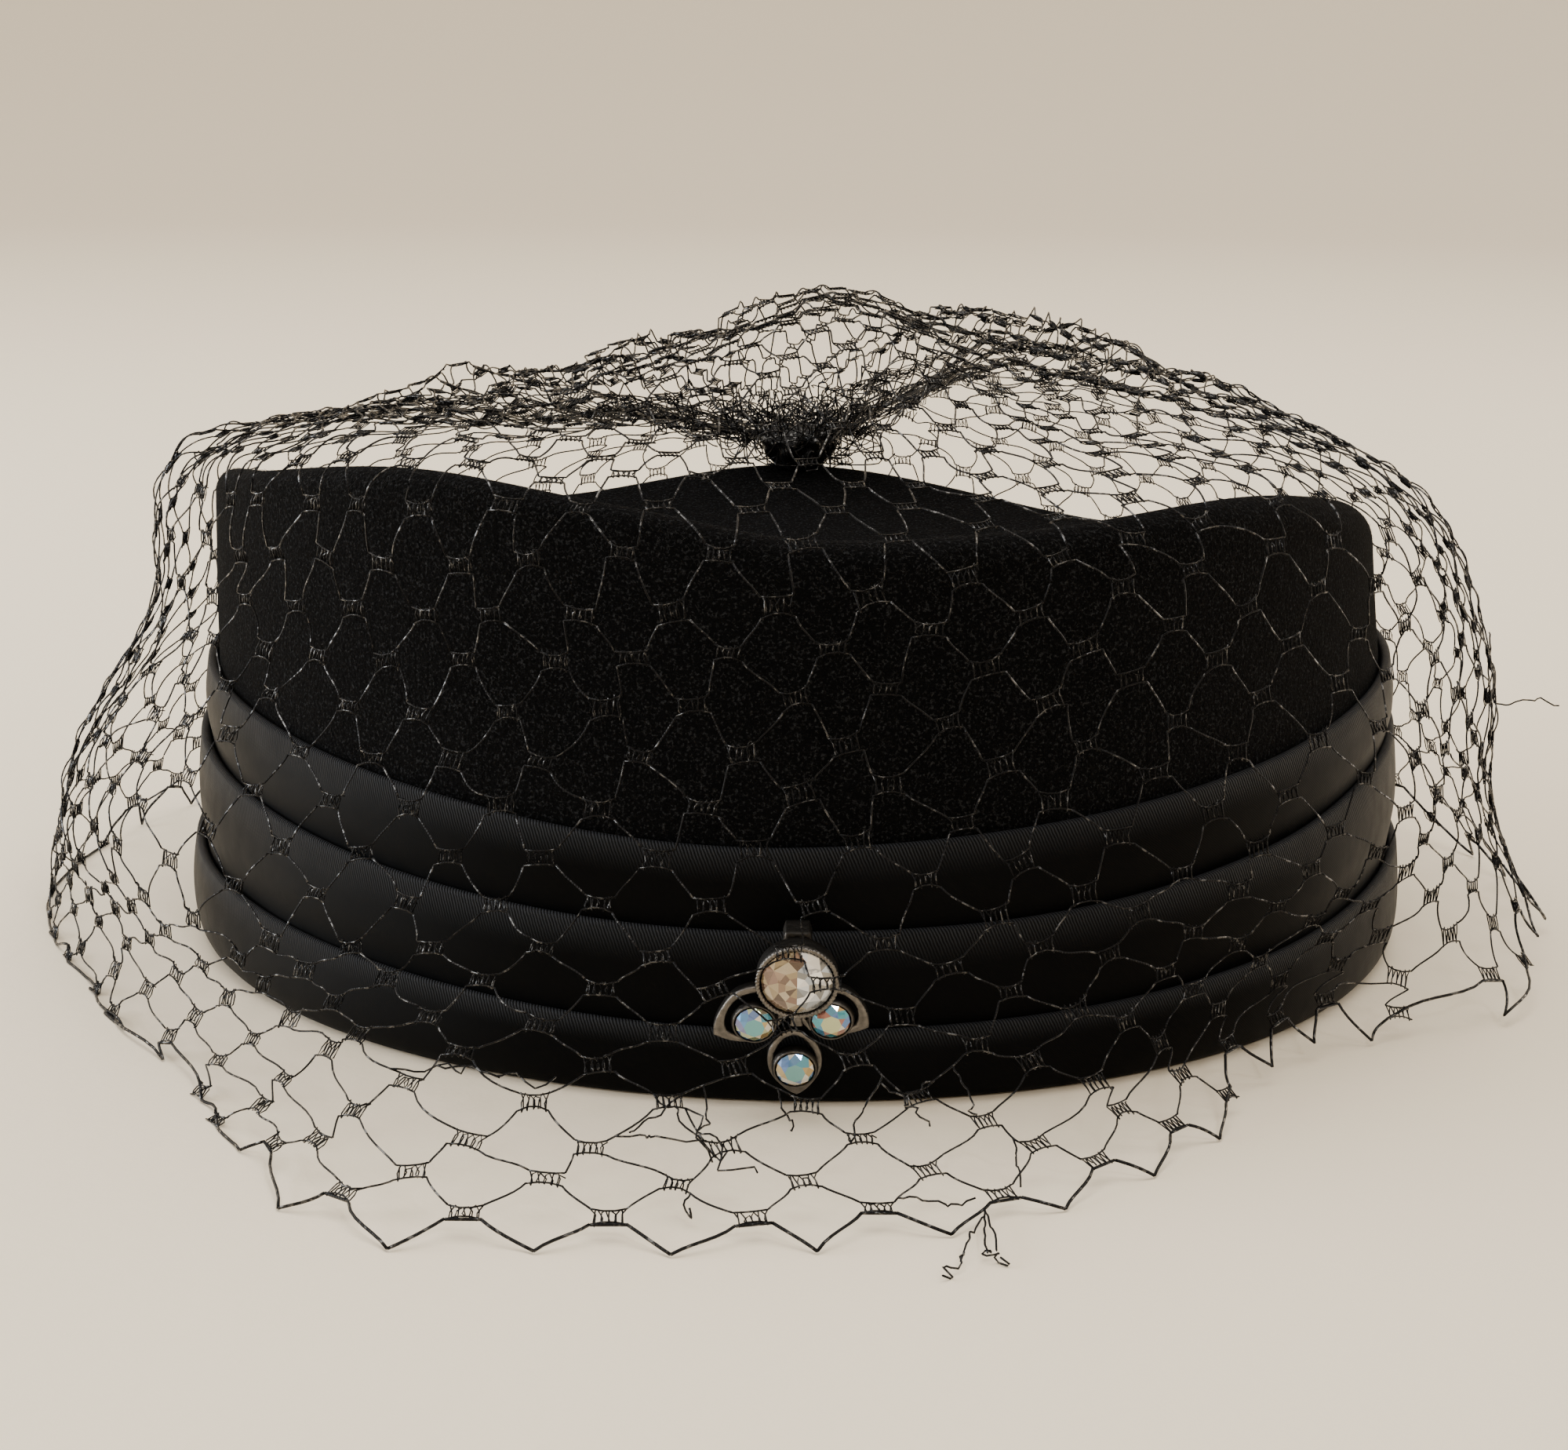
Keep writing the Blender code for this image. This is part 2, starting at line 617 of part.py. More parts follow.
def main():
    for obj in list(bpy.data.objects):
        bpy.data.objects.remove(obj, do_unlink=True)
    scene = bpy.context.scene
    hat = bpy.data.collections.new("pillbox_hat")
    helpers = bpy.data.collections.new("cutters")
    scene.collection.children.link(hat)
    scene.collection.children.link(helpers)
    helpers.hide_render = True
    materials = {
        "felt": new_material("felt", (0.012, 0.012, 0.012), 0.95),
        "satin": new_material("satin", (0.016, 0.015, 0.016), 0.42),
        "gunmetal": new_material("gunmetal", (0.20, 0.19, 0.17), 0.38, 1.0),
        "clear_stone": new_material("clear_stone", (0.82, 0.80, 0.76), 0.05, 0.3),
        "rainbow_stone": new_material("rainbow_stone", (0.55, 0.75, 0.80), 0.05, 0.3),
        "net": new_material("net", (0.01, 0.01, 0.01), 0.40),
    }
    root = bpy.data.objects.new("pillbox_hat_root", None)
    hat.objects.link(root)
    build_crown(materials["felt"], hat, root)
    for index in range(len(FOLDS)):
        build_fold(index, materials["satin"], hat, root)
    brooch = build_brooch_holder(hat, root)
    build_setting(materials["gunmetal"], hat, helpers, brooch)
    build_stones(materials, hat, brooch)
    build_gather(materials["net"], hat, root)
    build_veil(materials["net"], hat, root)
    stand_on_middle(root, hat)


main()
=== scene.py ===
"""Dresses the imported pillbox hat: felt with a nap, satin folds, a stone brooch and a veil of fine knotted net."""

import math
from collections import namedtuple

import bmesh
import bpy
import numpy as np
from bpy.props import FloatProperty, FloatVectorProperty, IntProperty, PointerProperty
from mathutils import Matrix, Vector


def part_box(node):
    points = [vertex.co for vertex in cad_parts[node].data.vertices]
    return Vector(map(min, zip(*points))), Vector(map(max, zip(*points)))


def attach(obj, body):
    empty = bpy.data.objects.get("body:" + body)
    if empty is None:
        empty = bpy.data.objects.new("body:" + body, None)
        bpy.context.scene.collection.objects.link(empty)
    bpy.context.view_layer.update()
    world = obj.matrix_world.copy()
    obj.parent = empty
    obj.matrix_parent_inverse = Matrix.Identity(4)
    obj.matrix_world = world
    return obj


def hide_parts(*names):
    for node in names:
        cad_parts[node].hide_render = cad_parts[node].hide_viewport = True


bl_info = {
    "name": "Veiled Pillbox Hat",
    "version": (1, 0, 0),
    "blender": (4, 5, 0),
    "location": "3D View > Sidebar > Hat",
    "description": "Builds the felt, satin, brooch and net veil of a pillbox hat round its packed solids",
    "category": "Add Mesh",
}

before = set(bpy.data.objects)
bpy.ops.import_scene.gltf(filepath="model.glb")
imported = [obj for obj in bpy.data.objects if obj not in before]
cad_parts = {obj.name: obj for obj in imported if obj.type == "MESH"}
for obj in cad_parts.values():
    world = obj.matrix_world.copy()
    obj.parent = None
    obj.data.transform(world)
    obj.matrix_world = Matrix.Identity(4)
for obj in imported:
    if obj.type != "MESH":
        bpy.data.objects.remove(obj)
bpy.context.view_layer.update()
MM = 0.001
TINY = 1e-12

# The crown's oval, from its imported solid
CROWN_LOW, CROWN_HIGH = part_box("crown")
HALF_WIDTH = (CROWN_HIGH.x - CROWN_LOW.x) / 2
HALF_DEPTH = (CROWN_HIGH.y - CROWN_LOW.y) / 2
CENTRE = np.array([(CROWN_LOW.x + CROWN_HIGH.x) / 2, (CROWN_LOW.y + CROWN_HIGH.y) / 2, 0.0])

# Crown and folds, as in the solids
CROWN_HEIGHT = 0.0735
TOP_EDGE_RADIUS = 0.0036
TOP_LEAN = 0.0016
DISH_HEIGHT = 0.046
DISH_STEEPNESS = 3.2
SATIN = 0.0015
FOLD_LEAN = 0.0005
TUCK = 0.0055
SEAT_GAP = 0.0003

# Round the hat. Heights of the rim and folds, the edge's radius and the wall's lean are shares.
Around = namedtuple("Around", "azimuth rim edge lean upper middle lower")
AROUND = (
    Around(-148, 0.728, 0.95, 0.6, 1.22, 1.28, 1.25),
    Around(-120, 0.815, 0.90, 0.4, 1.25, 1.34, 1.36),
    Around(-90, 0.935, 0.85, 0.2, 1.27, 1.38, 1.44),
    Around(-64, 1.010, 0.80, 0.2, 1.22, 1.28, 1.38),
    Around(-37, 1.082, 0.80, 0.5, 1.11, 1.11, 1.20),
    Around(-16, 1.046, 0.90, 1.0, 1.02, 1.01, 1.04),
    Around(0, 0.997, 1.00, 1.2, 1.00, 1.00, 1.00),
    Around(20, 1.006, 1.05, 1.2, 1.06, 1.04, 1.07),
    Around(44, 1.030, 1.15, 1.0, 1.17, 1.20, 1.25),
    Around(66, 0.975, 1.50, 1.1, 1.28, 1.40, 1.50),
    Around(90, 0.880, 1.65, 1.2, 1.34, 1.50, 1.62),
    Around(120, 0.760, 1.30, 1.0, 1.30, 1.42, 1.45),
    Around(142, 0.702, 1.00, 0.8, 1.24, 1.32, 1.30),
    Around(180, 0.790, 1.00, 0.8, 1.20, 1.26, 1.20),
)

# Each fold: its node, its top's height, its column in AROUND and how far its face bellies out
Fold = namedtuple("Fold", "node top column belly")
FOLDS = (
    Fold("fold_upper", 0.0340, "upper", 0.0007),
    Fold("fold_middle", 0.0232, "middle", 0.0007),
    Fold("fold_lower", 0.0102, "lower", 0.0006),
)

# Down the veil, from its gather to its hem. level is a share of the crown's local height, spread and shift are
# shares of its half width and depth, and the rest are outward of the felt, or up for the rows over the crown, in mm.
Station = namedtuple("Station", "row level spread shift front right rear left")
VEIL_TOP = (
    Station("spray", 1.0, 0.376, 0.76, 16.4, 7.6, -4.5, -2.6),
    Station("dome", 1.0, 0.68, 0.42, 13.0, 7.6, -10.0, 1.6),
)
VEIL_SKIRT = (
    Station("edge", 1.0, 1.0, 0.0, 2.6, 3.3, 13.0, 2.9),
    Station("upper_wall", 0.70, 1.0, 0.0, 7.0, 17.6, 18.0, 11.1),
    Station("lower_wall", 0.38, 1.0, 0.0, 15.0, 19.7, 23.5, 24.0),
)
# The veil's foot, in thousandths of the hem's reach
VEIL_FOOT = Station("foot", 0.13, 1.0, 0.0, 580.0, 830.0, 850.0, 980.0)
VEIL_REACH = 0.054
HEM_HEIGHT = 0.0004
GATHER_RADIUS = 0.0085
GATHER_HEIGHT = 0.0075
GATHER_WAIST = 0.62


class HatSizes(bpy.types.PropertyGroup):
    thread_radius: FloatProperty(
        name="Thread Radius", description="Radius of the net's thread", default=0.00015, unit="LENGTH"
    )
    hem_radius: FloatProperty(
        name="Hem Radius", description="Radius of the doubled thread along the hem", default=0.00024, unit="LENGTH"
    )
    columns: IntProperty(name="Columns", description="Cells of net round the hat", default=52, min=12)
    row_pitch: FloatProperty(
        name="Row Pitch", description="Height of half a cell of net on the wall", default=0.0061, unit="LENGTH"
    )
    knot_width: FloatProperty(
        name="Knot Width", description="Width of the looped knot between cells", default=0.0040, unit="LENGTH"
    )
    knot_height: FloatProperty(
        name="Knot Height", description="Height of the looped knot between cells", default=0.0023, unit="LENGTH"
    )
    nap_length: FloatProperty(
        name="Nap Length", description="Longest fibre of the felt's nap", default=0.0011, unit="LENGTH"
    )
    nap_fibres: IntProperty(name="Nap Fibres", description="Fibres of the felt's nap", default=11000, min=0)
    rib_pitch: FloatProperty(
        name="Rib Pitch", description="Spacing of the satin's ribs", default=0.00042, unit="LENGTH"
    )


class HatColours(bpy.types.PropertyGroup):
    felt: FloatVectorProperty(
        name="Felt", description="Colour of the felt", subtype="COLOR", default=(0.0018, 0.0019, 0.0021)
    )
    nap: FloatVectorProperty(
        name="Nap", description="Colour of the felt's loose fibres", subtype="COLOR", default=(0.055, 0.054, 0.053)
    )
    satin: FloatVectorProperty(
        name="Satin", description="Colour of the satin folds", subtype="COLOR", default=(0.0011, 0.0012, 0.0014)
    )
    metal: FloatVectorProperty(
        name="Metal", description="Colour of the brooch's metal", subtype="COLOR", default=(0.18, 0.168, 0.155)
    )
    net: FloatVectorProperty(
        name="Net", description="Colour of the net's thread", subtype="COLOR", default=(0.0030, 0.0029, 0.0032)
    )
    floor: FloatVectorProperty(
        name="Floor", description="Colour of the floor", subtype="COLOR", default=(0.80, 0.71, 0.565)
    )


def sizes():
    return bpy.context.scene.hat_sizes


def colours():
    return bpy.context.scene.hat_colours


# Shapes


def cubic(start, end, slope_in, slope_out, share):
    """A curve from start to end with a slope at each, at a share of its way."""
    bend = 2 * (start - end) + slope_in + slope_out
    sweep = 3 * (end - start) - 2 * slope_in - slope_out
    return ((bend * share + sweep) * share + slope_in) * share + start


def around(column, azimuth):
    """The values of one column of AROUND at azimuths in degrees, on a smooth closed curve through its rows."""
    knots = np.array([row.azimuth for row in AROUND], float)
    values = np.array([getattr(row, column) for row in AROUND], float)
    knots = np.concatenate([knots[-2:] - 360, knots, knots[:3] + 360])
    values = np.concatenate([values[-2:], values, values[:3]])
    azimuth = AROUND[0].azimuth + (np.asarray(azimuth, float) - AROUND[0].azimuth) % 360
    at = np.searchsorted(knots, azimuth, side="right") - 1
    a0, a1, a2, a3 = (knots[at + step] for step in (-1, 0, 1, 2))
    v0, v1, v2, v3 = (values[at + step] for step in (-1, 0, 1, 2))
    share = (azimuth - a1) / (a2 - a1)
    slope_in = (v2 - v0) / (a2 - a0) * (a2 - a1)
    slope_out = (v3 - v1) / (a3 - a1) * (a2 - a1)
    return cubic(v1, v2, slope_in, slope_out, share)


def four_ways(row, azimuth):
    """The smooth value in metres at azimuths of a row that names its values at the front, right, rear and left."""
    turn = np.radians(azimuth)
    mean = (row.front + row.right + row.rear + row.left) / 4
    oval = (row.front + row.rear - row.right - row.left) / 4
    front = (row.front - row.rear) / 2 * np.cos(turn)
    side = (row.right - row.left) / 2 * np.sin(turn)
    return (mean + front + side + oval * np.cos(2 * turn)) * MM


def oval_points(azimuth, offset, height, spread=1.0, shift=0.0):
    """Points outward of the crown's oval by offset, at a height. spread shrinks the oval and shift moves it back."""
    turn = np.radians(np.asarray(azimuth, float))
    half_width, half_depth = HALF_WIDTH * spread, HALF_DEPTH * spread
    out_x, out_y = np.sin(turn) / half_width, -np.cos(turn) / half_depth
    length = np.hypot(out_x, out_y)
    x = half_width * np.sin(turn) + out_x / length * offset
    y = -half_depth * np.cos(turn) + out_y / length * offset + shift * HALF_DEPTH
    return np.stack(np.broadcast_arrays(x, y, height), axis=-1) + CENTRE


def rim_height(azimuth):
    return CROWN_HEIGHT * around("rim", azimuth)


# Smooth noises: seed, sine terms, their fewest and most waves round the hat, and how fast they turn per metre
Wave = namedtuple("Wave", "seed terms low high pitch")
FELT_WAVE = Wave(3, 7, 3, 12, 80.0)
DISH_WAVE = Wave(5, 6, 1, 6, 60.0)
FOLD_WOBBLE = Wave(20, 7, 3, 14, 60.0)
FOLD_DRAPE = Wave(30, 8, 4, 20, 160.0)
NET_BROAD = Wave(41, 7, 3, 9, 70.0)
NET_FINE = Wave(42, 8, 9, 22, 260.0)
NET_PLEATS = Wave(43, 5, 12, 26, 60.0)
KNOTS_ROUND = Wave(51, 6, 2, 7, 60.0)
KNOTS_DOWN = Wave(52, 6, 2, 9, 60.0)
GATHER_LUMPS = Wave(61, 8, 3, 15, 400.0)
GATHER_RISE = Wave(62, 6, 3, 11, 300.0)


def waves(azimuth, along, wave, step=0):
    """A smooth closed noise round the hat and along a length in metres, from about -1 to 1."""
    rng = np.random.default_rng(wave.seed + step)
    turn = np.radians(azimuth)
    total = 0.0
    for _ in range(wave.terms):
        count, lean = rng.integers(wave.low, wave.high), rng.uniform(-1, 1)
        total = total + np.sin(count * turn + lean * wave.pitch * along + rng.uniform(0, 6.28))
    return total / math.sqrt(wave.terms)


def unit(vectors):
    """Vectors along the last axis, at a length of one."""
    return vectors / (np.linalg.norm(vectors, axis=-1, keepdims=True) + TINY)


def lengths_along(paths):
    """How far along each path its points are, for paths of points on the second axis."""
    length = np.linalg.norm(np.diff(paths, axis=1), axis=2).cumsum(axis=1)
    return np.concatenate([np.zeros((len(paths), 1)), length], axis=1)


def grid_faces(rows, columns, wrap_rows=True, wrap_columns=False):
    """Quads of a grid whose points run along the columns first."""
    row = np.arange(rows if wrap_rows else rows - 1)[:, None]
    column = np.arange(columns if wrap_columns else columns - 1)[None, :]
    next_row, next_column = (row + 1) % rows, (column + 1) % columns
    return np.stack(
        [
            row * columns + column,
            next_row * columns + column,
            next_row * columns + next_column,
            row * columns + next_column,
        ],
        axis=-1,
    ).reshape(-1, 4)


def mesh_from(name, points, quads=None, triangles=None, uv=None, smooth=True):
    """A mesh from arrays. uv holds a coordinate for each point, in metres."""
    mesh = bpy.data.meshes.new(name)
    corners, totals = [], []
    for faces in (quads, triangles):
        if faces is not None and len(faces):
            corners.append(np.asarray(faces).ravel())
            totals.append(np.full(len(faces), np.asarray(faces).shape[1]))
    corners, totals = np.concatenate(corners), np.concatenate(totals)
    mesh.vertices.add(len(points))
    mesh.vertices.foreach_set("co", np.asarray(points, np.float32).ravel())
    mesh.loops.add(len(corners))
    mesh.loops.foreach_set("vertex_index", corners.astype(np.int32))
    mesh.polygons.add(len(totals))
    starts = np.concatenate([[0], np.cumsum(totals)[:-1]])
    mesh.polygons.foreach_set("loop_start", starts.astype(np.int32))
    mesh.polygons.foreach_set("loop_total", totals.astype(np.int32))
    mesh.polygons.foreach_set("use_smooth", np.full(len(totals), smooth))
    if uv is not None:
        layer = mesh.uv_layers.new(name="Metres")
        layer.data.foreach_set("uv", np.asarray(uv, np.float32)[corners].ravel())
    mesh.update(calc_edges=True)
    mesh.validate()
    return mesh


def mark_points(mesh, name, values):
    """Keeps a number for each point of a mesh, for its material."""
    mark = mesh.attributes.new(name, "FLOAT", "POINT")
    mark.data.foreach_set("value", np.asarray(values).astype(np.float32).ravel())


# Threads and fibres are tubes of three sides. Their sections are turned from a direction that none runs along.
TUBE_SIDES = 3
THREAD_REFERENCE = (0.3, 0.5, 0.8)
FIBRE_REFERENCE = (0.31, 0.52, 0.79)


def tubes(paths, radius, reference, taper=None):
    """Points, quads, end faces and lengths for tubes along paths of one count of points, as arrays."""
    paths = np.asarray(paths, float)
    count, steps, _ = paths.shape
    sides = TUBE_SIDES
    along = unit(np.gradient(paths, axis=1))
    side = unit(np.cross(along, reference))
    up = np.cross(side, along)
    turn = 2 * np.pi * np.arange(sides) / sides
    reach = np.broadcast_to(np.asarray(radius, float), (count,))[:, None, None, None]
    if taper is not None:
        reach = reach * np.asarray(taper)[None, :, None, None]
    ring = np.cos(turn)[None, None, :, None] * side[:, :, None] + np.sin(turn)[None, None, :, None] * up[:, :, None]
    points = (paths[:, :, None] + ring * reach).reshape(-1, 3)
    base = (np.arange(count) * steps * sides)[:, None, None]
    step = (np.arange(steps - 1) * sides)[None, :, None]
    this = np.arange(sides)[None, None, :]
    after = (this + 1) % sides
    quads = np.stack(
        [base + step + this, base + step + after, base + step + sides + after, base + step + sides + this], axis=-1
    ).reshape(-1, 4)
    first = base[:, 0] + np.arange(sides)[::-1][None]
    last = base[:, 0] + (steps - 1) * sides + np.arange(sides)[None]
    ends = np.concatenate([first, last])
    uv = np.empty((count, steps, sides, 2))
    uv[..., 0] = lengths_along(paths)[:, :, None]
    uv[..., 1] = (np.arange(sides) / sides)[None, None, :] * MM
    return points, quads, ends, uv.reshape(-1, 2)


def tube_mesh(name, *groups, reference=THREAD_REFERENCE, taper=None):
    """One mesh of several groups of tubes, each a pair of paths and radius."""
    points, quads, ends, uvs, base = [], [], [], [], 0
    for paths, radius in groups:
        made = tubes(paths, radius, reference, taper)
        points.append(made[0])
        quads.append(made[1] + base)
        ends.append(made[2] + base)
        uvs.append(made[3])
        base += len(made[0])
    points, quads, ends, uvs = (np.concatenate(part) for part in (points, quads, ends, uvs))
    return mesh_from(name, points, quads, ends, uvs)


def add_piece(name, mesh, material, replaced=()):
    piece = bpy.data.objects.new(name, mesh)
    bpy.context.scene.collection.objects.link(piece)
    mesh.materials.append(material)
    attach(piece, "root")
    if replaced:
        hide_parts(*replaced)
    return piece


# Materials


def shader_group(name, inputs, output):
    """A new node group, its input node and its output node. inputs are tuples of name, socket type and value."""
    tree = bpy.data.node_groups.new(name, "ShaderNodeTree")
    for label, kind, value in inputs:
        socket = tree.interface.new_socket(label, in_out="INPUT", socket_type=kind)
        socket.default_value = value
    tree.interface.new_socket(output, in_out="OUTPUT", socket_type="NodeSocketFloat")
    return tree, tree.nodes.new("NodeGroupInput"), tree.nodes.new("NodeGroupOutput")


def node(tree, kind, links=(), **settings):
    """A node with its properties set. links are pairs of an input's name or number and a value or a socket."""
    made = tree.nodes.new(kind)
    for label, value in settings.items():
        setattr(made, label, value)
    # The properties come first, because a node tree or an operation sets which inputs there are
    for key, value in links:
        if isinstance(value, bpy.types.NodeSocket):
            tree.links.new(value, made.inputs[key])
        else:
            made.inputs[key].default_value = value
    return made


def grain_group():
    """Mottling: noise of a scale, spread from 0 at Low to 1 at High. Stretch squeezes it along an axis."""
    group = bpy.data.node_groups.get("Grain")
    if group:
        return group
    inputs = (
        ("Scale", "NodeSocketFloat", 100.0),
        ("Stretch", "NodeSocketVector", (1.0, 1.0, 1.0)),
        ("Low", "NodeSocketFloat", 0.4),
        ("High", "NodeSocketFloat", 0.6),
    )
    group, given, result = shader_group("Grain", inputs, "Mask")
    place = node(group, "ShaderNodeTexCoord").outputs["Object"]
    stretched = node(
        group, "ShaderNodeVectorMath", ((0, place), (1, given.outputs["Stretch"])), operation="MULTIPLY"
    )
    noise = node(
        group,
        "ShaderNodeTexNoise",
        (("Vector", stretched.outputs[0]), ("Scale", given.outputs["Scale"]), ("Detail", 5.0), ("Roughness", 0.6)),
    )
    spread = node(
        group,
        "ShaderNodeMapRange",
        (("Value", noise.outputs["Fac"]), ("From Min", given.outputs["Low"]), ("From Max", given.outputs["High"])),
    )
    group.links.new(spread.outputs["Result"], result.inputs["Mask"])
    return group


def ribs_group():
    """Soft parallel ribs over the Metres map, with Direction in ribs per metre and an uneven share of Wander."""
    group = bpy.data.node_groups.get("Ribs")
    if group:
        return group
    inputs = (("Direction", "NodeSocketVector", (1000.0, 0.0, 0.0)), ("Wander", "NodeSocketFloat", 0.5))
    group, given, result = shader_group("Ribs", inputs, "Mask")
    place = node(group, "ShaderNodeUVMap", uv_map="Metres").outputs["UV"]
    count = node(
        group, "ShaderNodeVectorMath", ((0, place), (1, given.outputs["Direction"])), operation="DOT_PRODUCT"
    )
    noise = node(group, "ShaderNodeTexNoise", (("Vector", place), ("Scale", 900.0), ("Detail", 2.0)))
    wander = node(
        group, "ShaderNodeMath", ((0, noise.outputs["Fac"]), (1, given.outputs["Wander"])), operation="MULTIPLY"
    )
    uneven = node(group, "ShaderNodeMath", ((0, count.outputs["Value"]), (1, wander.outputs[0])), operation="ADD")
    wave = node(group, "ShaderNodeMath", ((0, uneven.outputs[0]), (1, 0.5)), operation="PINGPONG")
    rounded = node(
        group,
        "ShaderNodeMapRange",
        (("Value", wave.outputs[0]), ("From Min", 0.0), ("From Max", 0.5)),
        interpolation_type="SMOOTHSTEP",
    )
    group.links.new(rounded.outputs["Result"], result.inputs["Mask"])
    return group


def new_material(name, **values):
    """A material and its tree and shader, with values for the shader's own sockets."""
    material = bpy.data.materials.new(name)
    material.use_nodes = True
    tree = material.node_tree
    shader = tree.nodes["Principled BSDF"]
    for label, value in values.items():
        shader.inputs[label.replace("_", " ")].default_value = value
    return material, tree, shader


def grain(tree, scale, low=0.4, high=0.6, stretch=(1.0, 1.0, 1.0)):
    links = (("Scale", scale), ("Stretch", stretch), ("Low", low), ("High", high))
    return placed(tree, grain_group(), links)


def placed(tree, group, links):
    """A node group placed in a material, with values or links for its inputs. Gives its mask."""
    return node(tree, "ShaderNodeGroup", links, node_tree=group).outputs["Mask"]


def ribs(tree, direction, wander=0.5):
    return placed(tree, ribs_group(), (("Direction", direction), ("Wander", wander)))


def mix_colour(tree, mask, dark, light):
    """A colour between two, each a colour or a socket, by a mask."""
    mix = tree.nodes.new("ShaderNodeMix")
    mix.data_type = "RGBA"
    tree.links.new(mask, mix.inputs["Factor"])
    for key, colour in (("A", dark), ("B", light)):
        socket = next(s for s in mix.inputs if s.name == key and s.type == "RGBA")
        if isinstance(colour, bpy.types.NodeSocket):
            tree.links.new(colour, socket)
        else:
            socket.default_value = (*colour[:3], 1.0)
    return next(s for s in mix.outputs if s.type == "RGBA")


def mix_value(tree, mask, low, high):
    """A value between two numbers by a mask."""
    links = (("Value", mask), ("To Min", low), ("To Max", high))
    return node(tree, "ShaderNodeMapRange", links).outputs["Result"]


def product(tree, first, second):
    return node(tree, "ShaderNodeMath", ((0, first), (1, second)), operation="MULTIPLY").outputs[0]


def add_bump(tree, shader, height, distance, strength=1.0, under=None):
    """Gives the shader a bump from a height, over the normal of another bump."""
    bump = node(tree, "ShaderNodeBump", (("Height", height), ("Distance", distance), ("Strength", strength)))
    if under:
        tree.links.new(under.outputs["Normal"], bump.inputs["Normal"])
    tree.links.new(bump.outputs["Normal"], shader.inputs["Normal"])
    return bump


def attribute(tree, name):
    return node(tree, "ShaderNodeAttribute", attribute_name=name).outputs["Fac"]


def scaled(colour, factor):
    return tuple(channel * factor for channel in colour)


def felt_material():
    """Dense wool felt: black, flecked with paler fibres, with a fine uneven nap."""
    colour = tuple(colours().felt)
    material, tree, shader = new_material(
        "wool felt", Roughness=0.94, Specular_IOR_Level=0.02, Sheen_Weight=0.012, Sheen_Roughness=0.5
    )
    shader.inputs["Sheen Tint"].default_value = (0.8, 0.77, 0.74, 1.0)
    flecks = grain(tree, 2300.0, 0.53, 0.70)
    patches = grain(tree, 90.0, 0.30, 0.75)
    strands = grain(tree, 900.0, 0.56, 0.72, (1.0, 1.0, 3.2))
    base = mix_colour(tree, patches, scaled(colour, 0.85), scaled(colour, 1.3))
    base = mix_colour(tree, strands, base, scaled(colour, 2.4))
    base = mix_colour(tree, flecks, base, scaled(colour, 13.0))
    tree.links.new(base, shader.inputs["Base Color"])
    matted = add_bump(tree, shader, grain(tree, 1400.0, 0.25, 0.75), 0.0004, 0.9)
    add_bump(tree, shader, flecks, 0.00015, 0.7, matted)
    return material


def nap_material():
    """Loose wool fibres on the felt."""
    colour = tuple(colours().nap)
    material, tree, shader = new_material("felt nap", Roughness=0.65, Specular_IOR_Level=0.12)
    base = mix_colour(tree, grain(tree, 700.0, 0.40, 0.66), scaled(colour, 0.22), colour)
    tree.links.new(base, shader.inputs["Base Color"])
    return material


def satin_material():
    """Black satin on the bias: a soft wide gloss on its face and fine slanting ribs where it rolls over, painted much
    lighter there as a highlight.
    """
    colour = tuple(colours().satin)
    pitch = sizes().rib_pitch
    material, tree, shader = new_material(
        "bias satin",
        Roughness=0.5,
        Specular_IOR_Level=0.04,
        Anisotropic=0.6,
        Anisotropic_Rotation=0.25,
    )
    rolled = attribute(tree, "Rolled")
    slanting = ribs(tree, (0.92 / pitch, 0.38 / pitch, 0.0), 0.55)
    threads = ribs(tree, (2300.0, 2900.0, 0.0), 0.8)
    ribs_and_painted_highlight = product(tree, slanting, rolled)
    uneven = grain(tree, 60.0, 0.3, 0.7)
    base = mix_colour(tree, uneven, scaled(colour, 0.85), scaled(colour, 1.15))
    # painted highlight: the ribs on the rolled edge are painted twenty times lighter than the satin, as where light
    # catches them
    base = mix_colour(tree, ribs_and_painted_highlight, base, scaled(colour, 20.0))
    tree.links.new(base, shader.inputs["Base Color"])
    tree.links.new(mix_value(tree, grain(tree, 240.0, 0.25, 0.75), 0.46, 0.58), shader.inputs["Roughness"])
    woven = add_bump(tree, shader, threads, 0.00003, 0.35)
    add_bump(tree, shader, ribs_and_painted_highlight, 0.00012, 0.8, woven)
    return material


def net_material():
    """Waxed black thread twisted from two strands, which glints along its twist: in its glossy coat, and in its ribs of
    twist, which are painted lighter as glints.
    """
    colour = tuple(colours().net)
    material, tree, shader = new_material(
        "net thread", Roughness=0.45, Specular_IOR_Level=0.1, Coat_Roughness=0.25, Coat_IOR=1.75
    )
    tree.links.new(grain(tree, 1100.0, 0.53, 0.60), shader.inputs["Coat Weight"])
    ply_ribs_and_painted_glints = ribs(tree, (2400.0, 1000.0, 0.0), 0.6)
    base = mix_colour(tree, grain(tree, 500.0, 0.3, 0.7), scaled(colour, 0.7), scaled(colour, 1.5))
    # painted highlight: the twist's ribs are painted lighter as glints
    base = mix_colour(tree, ply_ribs_and_painted_glints, base, scaled(colour, 2.6))
    tree.links.new(base, shader.inputs["Base Color"])
    tree.links.new(mix_value(tree, grain(tree, 1500.0, 0.35, 0.65), 0.26, 0.55), shader.inputs["Roughness"])
    add_bump(tree, shader, ply_ribs_and_painted_glints, 0.00006, 0.7)
    return material


